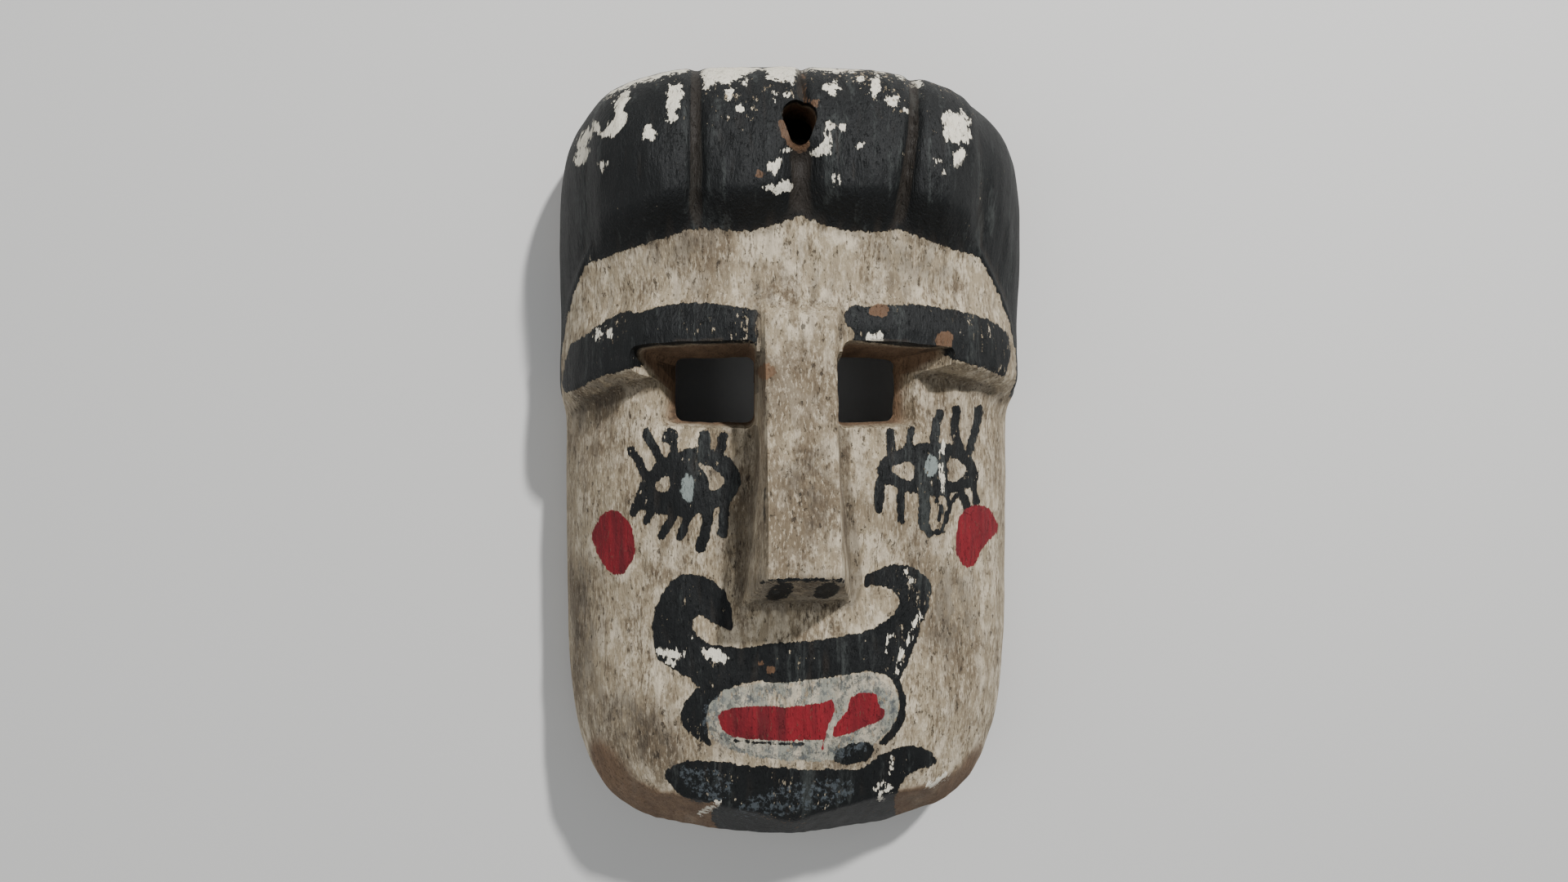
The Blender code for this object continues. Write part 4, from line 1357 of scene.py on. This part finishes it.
@dataclass(frozen=True)
class PaintedWood:
    """Worn cream paint over wood, with black, red and pale paint brushed on it, and painted shade darkening
    its creases and recesses.
    """

    wood_light: tuple = srgb(138, 112, 88)
    wood_dark: tuple = srgb(66, 50, 38)
    cream_light: tuple = srgb(200, 186, 162)
    cream: tuple = srgb(150, 136, 113)
    cream_dark: tuple = srgb(92, 79, 63)
    # Dark grime for specks and pores, also used as painted shade in creases and recesses.
    grime_and_shade: tuple = srgb(52, 45, 38)
    black: tuple = srgb(17, 19, 19)
    black_worn: tuple = srgb(62, 65, 63)
    red: tuple = srgb(126, 32, 40)
    red_dark: tuple = srgb(88, 28, 34)
    pale: tuple = srgb(134, 136, 126)
    pale_dark: tuple = srgb(66, 74, 76)
    white: tuple = srgb(236, 230, 212)
    shine: tuple = srgb(128, 136, 132)
    chip_brown: tuple = srgb(128, 96, 70)
    frost: tuple = srgb(78, 84, 88)

    def material(self) -> bpy.types.Material:
        """Build the finish.

        Returns:
            The material.
        """
        made = bpy.data.materials.new("painted_wood")
        made.use_nodes = True
        made.node_tree.nodes.clear()
        nodes = Nodes(made.node_tree)
        shader = nodes.add("ShaderNodeBsdfPrincipled")
        surface = nodes.add("ShaderNodeOutputMaterial")
        made.node_tree.links.new(shader.outputs[0], surface.inputs["Surface"])
        edge_tree = paint_edge_group()
        grain_node = nodes.add("ShaderNodeGroup", node_tree=wood_grain_group())
        grain_node.inputs["Contrast"].default_value = 1.8
        grain, pores = grain_node.outputs["Grain"], grain_node.outputs["Pores"]
        rubbed = nodes.attribute("rubbed")
        depth = nodes.attribute("depth_below_front")
        # Painted shade and dirt in creases and hollows, by how hollow the surface is.
        dirt_and_shade = nodes.window(nodes.attribute("crease"), 0.02, 0.35)

        def cover(layer: Layer, ragged: float, losses: object) -> bpy.types.NodeSocket:
            """Where one layer of paint covers.

            Args:
                layer: the layer of paint.
                ragged: how ragged its edge is.
                losses: how much of it is lost.

            Returns:
                The cover's socket.
            """
            node = nodes.add("ShaderNodeGroup", node_tree=edge_tree)
            nodes.feed(node.inputs["Distance"], nodes.attribute(layer.value))
            node.inputs["Raggedness"].default_value = ragged
            nodes.feed(node.inputs["Losses"], losses)
            return node.outputs["Cover"]

        def over(base: object, share: object, strength: float, top: object) -> bpy.types.NodeSocket:
            """Lay a colour over another with a mask and a strength."""
            return nodes.blend(nodes.calc("MULTIPLY", share, strength), base, top)

        stain = nodes.noise((1.0, 0.7, 1.0), 34.0, 5.0, 0.62, 0.9)
        mottle = nodes.noise((1.0, 0.55, 1.0), 210.0, 5.0, 0.68, 0.7)
        dashes = nodes.noise((1.0, 0.28, 1.0), 1300.0, 3.0, 0.65, 0.3)
        specks = nodes.window(nodes.noise((1.0, 0.5, 1.0), 560.0, 4.0, 0.7, 0.45), 0.60, 0.68)
        wood = over(nodes.blend(grain, self.wood_dark, self.wood_light),
                    nodes.window(dashes, 0.52, 0.66), 0.55, self.wood_dark)
        cream = over(self.cream, nodes.window(mottle, 0.46, 0.60), 0.9, self.cream_light)
        blots = nodes.window(nodes.noise((1.0, 0.8, 1.0), 95.0, 6.0, 0.72, 0.17), 0.53, 0.68)
        cream = over(cream, blots, 0.75, self.cream_dark)
        stained = nodes.calc("ADD", stain, nodes.calc("MULTIPLY", grain, 0.3))
        cream = over(cream, nodes.window(stained, 0.60, 0.82), 0.75, self.cream_dark)
        patchy = nodes.window(nodes.noise((1.0, 0.5, 1.0), 120.0, 4.0, 0.6, 0.81), 0.42, 0.60)
        streaks = nodes.window(nodes.noise((1.0, 0.09, 0.6), 620.0, 5.0, 0.7, 0.33), 0.53, 0.66)
        cream = over(cream, nodes.calc("MULTIPLY", streaks, nodes.calc("ADD", patchy, 0.35)), 0.55,
                     self.cream_dark)
        cream = over(cream, nodes.calc("MULTIPLY", nodes.window(dashes, 0.52, 0.62), patchy), 0.75,
                     self.cream_dark)
        cream = over(cream, nodes.window(dashes, 0.47, 0.36), 0.5, self.cream_light)
        # Darken the cream by the dirt-and-shade patches: grime, and painted shade under the brow and nose
        # and down the left side.
        soiled_and_shaded = nodes.calc("MULTIPLY", nodes.window(nodes.attribute(Layer.DIRT_AND_SHADE.value), -5.0, 4.0),
                            nodes.window(mottle, 0.36, 0.58))
        cream = over(cream, soiled_and_shaded, 0.6, self.grime_and_shade)
        cream = over(cream, specks, 0.75, self.grime_and_shade)
        cream = over(cream, pores, 0.45, self.grime_and_shade)
        bevel = nodes.calc("MULTIPLY", nodes.attribute("bevel"), 7.0)
        bare = nodes.window(nodes.calc("ADD", nodes.calc("ADD", depth, bevel),
                                       nodes.calc("MULTIPLY", stain, 6.0)), 4.0, 10.0)
        color = nodes.blend(bare, cream, wood)
        pale = cover(Layer.PALE, 0.9, 1.0)
        pale_tone = over(self.pale, nodes.window(mottle, 0.45, 0.62), 0.6, self.cream_light)
        smears = nodes.window(nodes.noise((1.0, 0.8, 1.0), 330.0, 5.0, 0.7, 0.57), 0.51, 0.57)
        pale_tone = over(pale_tone, smears, 0.8, self.pale_dark)
        color = over(color, pale, 0.85, pale_tone)
        scuffs = nodes.window(nodes.calc("ADD", grain, nodes.calc("MULTIPLY", dashes, 0.5)), 0.78, 1.05)
        black_tone = nodes.blend(nodes.calc("MULTIPLY", scuffs, 0.7), self.black, self.black_worn)
        lines = cover(Layer.BLACK, 0.6, 0.7)
        hair = cover(Layer.HAIR, 0.8, nodes.calc("ADD", 0.45, rubbed))
        worn = cover(Layer.WORN, 1.5, 0.6)
        kept = nodes.calc("SUBTRACT", 1.0, worn)
        black = nodes.calc("MULTIPLY", nodes.calc("MAXIMUM", lines, hair), kept)
        black = nodes.calc("MULTIPLY", black, nodes.calc("SUBTRACT", 1.0, nodes.window(depth, 2.5, 5.0)))
        frost_noise = nodes.window(nodes.noise((1.0, 0.8, 1.0), 620.0, 5.0, 0.75, 0.52), 0.49, 0.58)
        frost = nodes.calc("MULTIPLY", cover(Layer.FROST, 1.5, 0.0),
                           nodes.calc("MULTIPLY", frost_noise, 0.75))
        color = over(color, frost, 0.8, self.frost)
        color = nodes.blend(black, color, nodes.blend(frost, black_tone, self.frost))
        white = over(self.white, nodes.window(mottle, 0.5, 0.7), 0.4, self.cream)
        color = over(color, worn, 0.75, white)
        red_tone = nodes.blend(nodes.window(grain, 0.25, 0.7), self.red_dark, self.red)
        red_tone = over(red_tone, nodes.window(dashes, 0.60, 0.70), 0.5, self.cream_dark)
        color = nodes.blend(cover(Layer.RED, 0.5, 0.35), color, red_tone)
        chip = nodes.blend(grain, self.wood_dark, self.chip_brown)
        color = over(color, cover(Layer.BROWN, 0.7, 0.0), 0.8, chip)
        color = over(color, cover(Layer.WHITES, 0.5, 0.2), 0.9, cream)
        color = over(color, cover(Layer.SHINE, 0.6, 0.8), 0.85, self.shine)
        # Cracks, and painted shade in the hair's grooves.
        color = over(color, cover(Layer.CRACK_AND_GROOVE_SHADE, 0.7, 0.6), 0.75, self.black)
        # Painted shade and grime darken the creases.
        color = over(color, dirt_and_shade, 0.5, self.grime_and_shade)
        nodes.feed(shader.inputs["Base Color"], color)
        rough = nodes.calc("SUBTRACT", 0.80, nodes.calc("MULTIPLY", black, 0.22))
        nodes.feed(shader.inputs["Roughness"], nodes.calc("ADD", rough, nodes.calc("MULTIPLY", grain, 0.1)))
        shader.inputs["Specular IOR Level"].default_value = 0.3
        relief = nodes.calc("ADD", nodes.calc("MULTIPLY", grain, 0.5), nodes.calc("MULTIPLY", black, 0.3))
        relief = nodes.calc("SUBTRACT", relief, nodes.calc("MULTIPLY", pores, 0.5))
        relief = nodes.calc("SUBTRACT", relief, nodes.calc("MULTIPLY", specks, 0.35))
        relief = nodes.calc("ADD", relief, nodes.calc("MULTIPLY", dashes, 0.7))
        relief = nodes.calc("ADD", relief, nodes.calc("MULTIPLY", mottle, 0.5))
        bump = nodes.add("ShaderNodeBump")
        bump.inputs["Strength"].default_value = 1.0
        bump.inputs["Distance"].default_value = 0.7 * MM
        nodes.feed(bump.inputs["Height"], relief)
        nodes.feed(shader.inputs["Normal"], bump.outputs[0])
        return made


@dataclass
class Mask:
    """The whole mask: one carved, hollowed and painted block."""

    front: Front = field(default_factory=Front)
    hollow: HollowBack = field(default_factory=HollowBack)
    left_eye: EyeHole = field(default_factory=lambda: EyeHole(-1.0))
    right_eye: EyeHole = field(
        default_factory=lambda: EyeHole(1.0, width=17.8 * MM, splay=11.5 * MM))
    cord_hole: CordHole = field(default_factory=CordHole)
    view: PhotoView = field(default_factory=PhotoView)
    finish: PaintedWood = field(default_factory=PaintedWood)
    hollow_columns: int = 60
    hollow_rows: int = 90
    columns: int = 226
    rows: int = 344
    skirt: float = 5 * MM
    mark_depth: float = 0.5 * MM
    mark_width: float = 6 * MM
    mark_length: float = 13 * MM
    mark_seed: float = 4.0

    def block(self, name: str, outline: Outline, height_at: Callable[[Array, Array], Array],
              columns: int, rows: int, skirt: float) -> bpy.types.Object:
        """Make a solid under a surface of heights.

        Args:
            name: the object's name.
            outline: the outline that it fills.
            height_at: function of x and y that gives the height.
            columns: steps across.
            rows: steps along.
            skirt: how far its flat underside lies below the rim.

        Returns:
            The object.
        """
        x, y = outline.grid(columns, rows)
        z = height_at(x, y)
        order = np.arange(x.size).reshape(x.shape)
        loop = np.concatenate([order[0, :-1], order[:-1, -1], order[-1, :0:-1], order[:0:-1, 0]])
        flat_z = z.ravel()
        flat_z[loop] = 0.0
        points = np.stack([x.ravel(), y.ravel(), flat_z], 1)
        quads = np.stack([order[:-1, :-1], order[:-1, 1:], order[1:, 1:], order[1:, :-1]], -1)
        faces = quads.reshape(-1, 4).tolist()
        if skirt > 0.0:
            low = points[loop].copy()
            low[:, 2] = -skirt
            under = np.arange(len(loop)) + len(points)
            points = np.concatenate([points, low])
            after, under_after = np.roll(loop, -1), np.roll(under, -1)
            faces += np.stack([after, loop, under, under_after], 1).tolist()
            loop = under
        faces.append(loop[::-1].tolist())
        return self.add_object(name, points.tolist(), faces)

    def cutter(self, name: str, loops: list[list[tuple[float, float, float]]]) -> bpy.types.Object:
        """Make a solid through loops of points, lowest first.

        Args:
            name: the object's name.
            loops: closed loops of points, with the same number in each.

        Returns:
            The object.
        """
        count = len(loops[0])
        last = count * (len(loops) - 1)
        faces = [list(range(count))[::-1], list(range(last, last + count))]
        for base in range(0, last, count):
            for i in range(count):
                after = (i + 1) % count
                faces.append([base + i, base + after, base + count + after, base + count + i])
        return self.add_object(name, [point for loop in loops for point in loop], faces)

    def add_object(self, name: str, points: list, faces: list) -> bpy.types.Object:
        """Put points and faces in the scene as an object.

        Args:
            name: the object's name.
            points: its points.
            faces: its faces, as lists of point numbers.

        Returns:
            The object.
        """
        mesh = bpy.data.meshes.new(name)
        mesh.from_pydata(points, [], faces)
        built = bpy.data.objects.new(name, mesh)
        bpy.context.scene.collection.objects.link(built)
        return built

    def boolean(self, target: bpy.types.Object, other: bpy.types.Object, operation: str) -> None:
        """Join or cut one solid with another, and take the other away.

        Args:
            target: the solid that is changed.
            other: the solid that joins or cuts it.
            operation: UNION or DIFFERENCE.
        """
        modifier = target.modifiers.new("cut", "BOOLEAN")
        modifier.operation = operation
        modifier.solver = "EXACT"
        modifier.object = other
        self.settle(target)
        bpy.data.objects.remove(other, do_unlink=True)

    def settle(self, target: bpy.types.Object) -> None:
        """Turn an object's modifiers into a plain mesh.

        Args:
            target: the solid that is changed.
        """
        graph = bpy.context.evaluated_depsgraph_get()
        mesh = bpy.data.meshes.new_from_object(target.evaluated_get(graph))
        target.modifiers.clear()
        target.data = mesh

    def carve(self) -> bpy.types.Object:
        """Carve the block and cut the hollow and the holes out of it.

        Returns:
            The carved mask.
        """
        hollow = self.block("hollow", self.hollow.outline, self.hollow.height,
                            self.hollow_columns, self.hollow_rows, self.skirt)
        for name, hole in (("left_eye", self.left_eye), ("right_eye", self.right_eye),
                           ("cord_hole", self.cord_hole)):
            cutter = self.cutter(name, hole.loops())
            cutter.data.transform(Matrix.Translation((FACE_X, FACE_Y, 0)))
            self.boolean(hollow, cutter, "UNION")
        mask = self.block("carved_mask", self.front.outline, self.front.height,
                          self.columns, self.rows, 0.0)
        self.boolean(mask, hollow, "DIFFERENCE")
        return mask

    def add_tool_marks(self, mask: bpy.types.Object, finish: bpy.types.Material) -> None:
        """Press the gouge marks into the block and give it its finish.

        Args:
            mask: the carved block.
            finish: the material that dresses it.
        """
        tree = tool_marks_tree()
        values = {"Depth": self.mark_depth, "Width": self.mark_width, "Length": self.mark_length,
                  "Seed": self.mark_seed, "Finish": finish}
        modifier = mask.modifiers.new("tool_marks", "NODES")
        modifier.node_group = tree
        for item in tree.interface.items_tree:
            if item.in_out == "INPUT" and item.name in values:
                modifier[item.identifier] = values[item.name]
        self.settle(mask)

    def paint(self, mask: bpy.types.Object) -> None:
        """Keep each layer of paint on the mesh as a signed distance in millimetres.

        Args:
            mask: the carved mask.
        """
        mesh = mask.data
        count = len(mesh.vertices)
        flat = np.empty(count * 3)
        mesh.vertices.foreach_get("co", flat)
        points = flat.reshape(-1, 3)
        x, y, z = points.T
        across, down = self.view.picture(points)
        hidden = 1.0 - smooth_step(-0.05, 0.10, self.facing(mesh, points))
        for layer, shapes in layer_shapes().items():
            reach = np.full(count, -FAR_PX)
            for shape in shapes:
                reach = np.maximum(reach, shape.reach(across, down))
            self.keep(mesh, layer.value, (reach - hidden * 2 * FAR_PX) * MM_PER_PX)
        hair = np.clip(self.front.hair.reach(x - FACE_X, y - FACE_Y) / MM, -4.0, 4.0)
        self.keep(mesh, Layer.HAIR.value, hair)
        below = np.clip(self.front.height(x, y) - z, 0.0, 1.0) / MM
        below = np.where(z < 0.05 * MM, 20.0, below)
        self.keep(mesh, "depth_below_front", below)
        crease = self.creases(mesh, points)
        self.keep(mesh, "crease", crease)
        near_top = smooth_step(96 * MM, 122 * MM, y - FACE_Y)
        self.keep(mesh, "rubbed", near_top * 0.45 + np.clip(-crease * 0.5, 0.0, 0.15))
        jaw = self.front.jaw.height(x, y, self.front.outline)
        self.keep(mesh, "bevel", smooth_step(-4 * MM, 0.5 * MM, z - jaw))

    def facing(self, mesh: bpy.types.Mesh, points: Array) -> Array:
        """How squarely the surface faces the photograph's camera at each point, from -1 to 1.

        Args:
            mesh: the mask's mesh.
            points: places on the mask, one row each.

        Returns:
            The cosine at each point.
        """
        normals = np.empty(points.size)
        mesh.vertices.foreach_get("normal", normals)
        towards = self.view.place() - points
        towards /= np.linalg.norm(towards, axis=1)[:, None]
        return np.einsum("ij,ij->i", normals.reshape(-1, 3), towards)

    def keep(self, mesh: bpy.types.Mesh, name: str, values: Array) -> None:
        """Store one number for each point of the mesh."""
        made = mesh.attributes.new(name, "FLOAT", "POINT")
        made.data.foreach_set("value", np.asarray(values, np.float32))

    def creases(self, mesh: bpy.types.Mesh, points: Array) -> Array:
        """How hollow the surface is at each point, in millimetres over a few steps.

        Args:
            mesh: the mask's mesh.
            points: places on the mask, one row each.

        Returns:
            The depth at each point.
        """
        ends = np.empty(len(mesh.edges) * 2, np.int32)
        mesh.edges.foreach_get("vertices", ends)
        first, second = ends.reshape(-1, 2).T
        tally = np.bincount(first, minlength=len(points)) + np.bincount(second, minlength=len(points))
        blurred = points.copy()
        for _ in range(6):
            total = np.zeros_like(blurred)
            for axis in range(3):
                total[:, axis] += np.bincount(first, blurred[second, axis], len(points))
                total[:, axis] += np.bincount(second, blurred[first, axis], len(points))
            blurred = total / np.maximum(tally, 1)[:, None]
        normals = np.empty(len(points) * 3)
        mesh.vertices.foreach_get("normal", normals)
        return np.einsum("ij,ij->i", blurred - points, normals.reshape(-1, 3)) / MM

    def build(self) -> bpy.types.Object:
        """Carve, paint and dress the mask, and stand it in for the CAD solid.

        Returns:
            The finished mask.
        """
        mask = self.carve()
        self.add_tool_marks(mask, self.finish.material())
        self.paint(mask)
        mask.data.polygons.foreach_set("use_smooth", np.ones(len(mask.data.polygons), bool))
        mask.data.set_sharp_from_angle(angle=math.radians(50))
        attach(mask, "root")
        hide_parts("mask")
        LOG.info("%s: %d faces", mask.name, len(mask.data.polygons))
        return mask


@dataclass
class Studio:
    """A plain pale floor and soft light, with the key light from above on the right."""

    floor_half: float = 3.0
    floor_color: tuple = (0.62, 0.61, 0.59, 1.0)

    def floor(self) -> bpy.types.Object:
        """Lay the floor.

        Returns:
            The floor.
        """
        half = self.floor_half
        mesh = bpy.data.meshes.new("floor")
        mesh.from_pydata([(-half, -half, 0), (half, -half, 0), (half, half, 0), (-half, half, 0)],
                         [], [(0, 1, 2, 3)])
        built = bpy.data.objects.new("floor", mesh)
        bpy.context.scene.collection.objects.link(built)
        material = bpy.data.materials.new("floor")
        material.use_nodes = True
        shader = material.node_tree.nodes["Principled BSDF"]
        shader.inputs["Base Color"].default_value = self.floor_color
        shader.inputs["Roughness"].default_value = 0.9
        mesh.materials.append(material)
        return built

    def light(self, name: str, place: tuple[float, float, float], size: float,
              power: float) -> bpy.types.Object:
        """Hang one square light that faces the mask.

        Args:
            name: the light's name.
            place: where it hangs.
            size: length of its side.
            power: its power in watts.

        Returns:
            The light.
        """
        data = bpy.data.lights.new(name, "AREA")
        data.size = size
        data.energy = power
        built = bpy.data.objects.new(name, data)
        built.location = place
        built.rotation_euler = (Vector(place) - Vector((0, 0, 0.04))).to_track_quat("Z", "Y").to_euler()
        bpy.context.scene.collection.objects.link(built)
        return built

    def build(self) -> None:
        """Set up the floor, the lights and a dim even surround."""
        self.floor()
        self.light("key_light", (0.36, 0.62, 0.84), 0.05, 15.5)
        self.light("fill_light", (-0.8, -0.05, 1.0), 1.2, 4.6)
        self.light("low_light", (0.2, -0.9, 0.9), 1.0, 0.8)
        world = bpy.data.worlds.new("surround")
        world.use_nodes = True
        world.node_tree.nodes["Background"].inputs[0].default_value = (0.9, 0.95, 1.0, 1.0)
        world.node_tree.nodes["Background"].inputs[1].default_value = 0.35
        bpy.context.scene.world = world


def main() -> None:
    """Build the mask, the studio and the camera."""
    logging.basicConfig(level=logging.INFO)
    mask = Mask()
    built = mask.build()
    Studio().build()
    mask.view.camera()
    LOG.info("built %s on a floor", built.name)


if __name__ == "__main__":
    main()
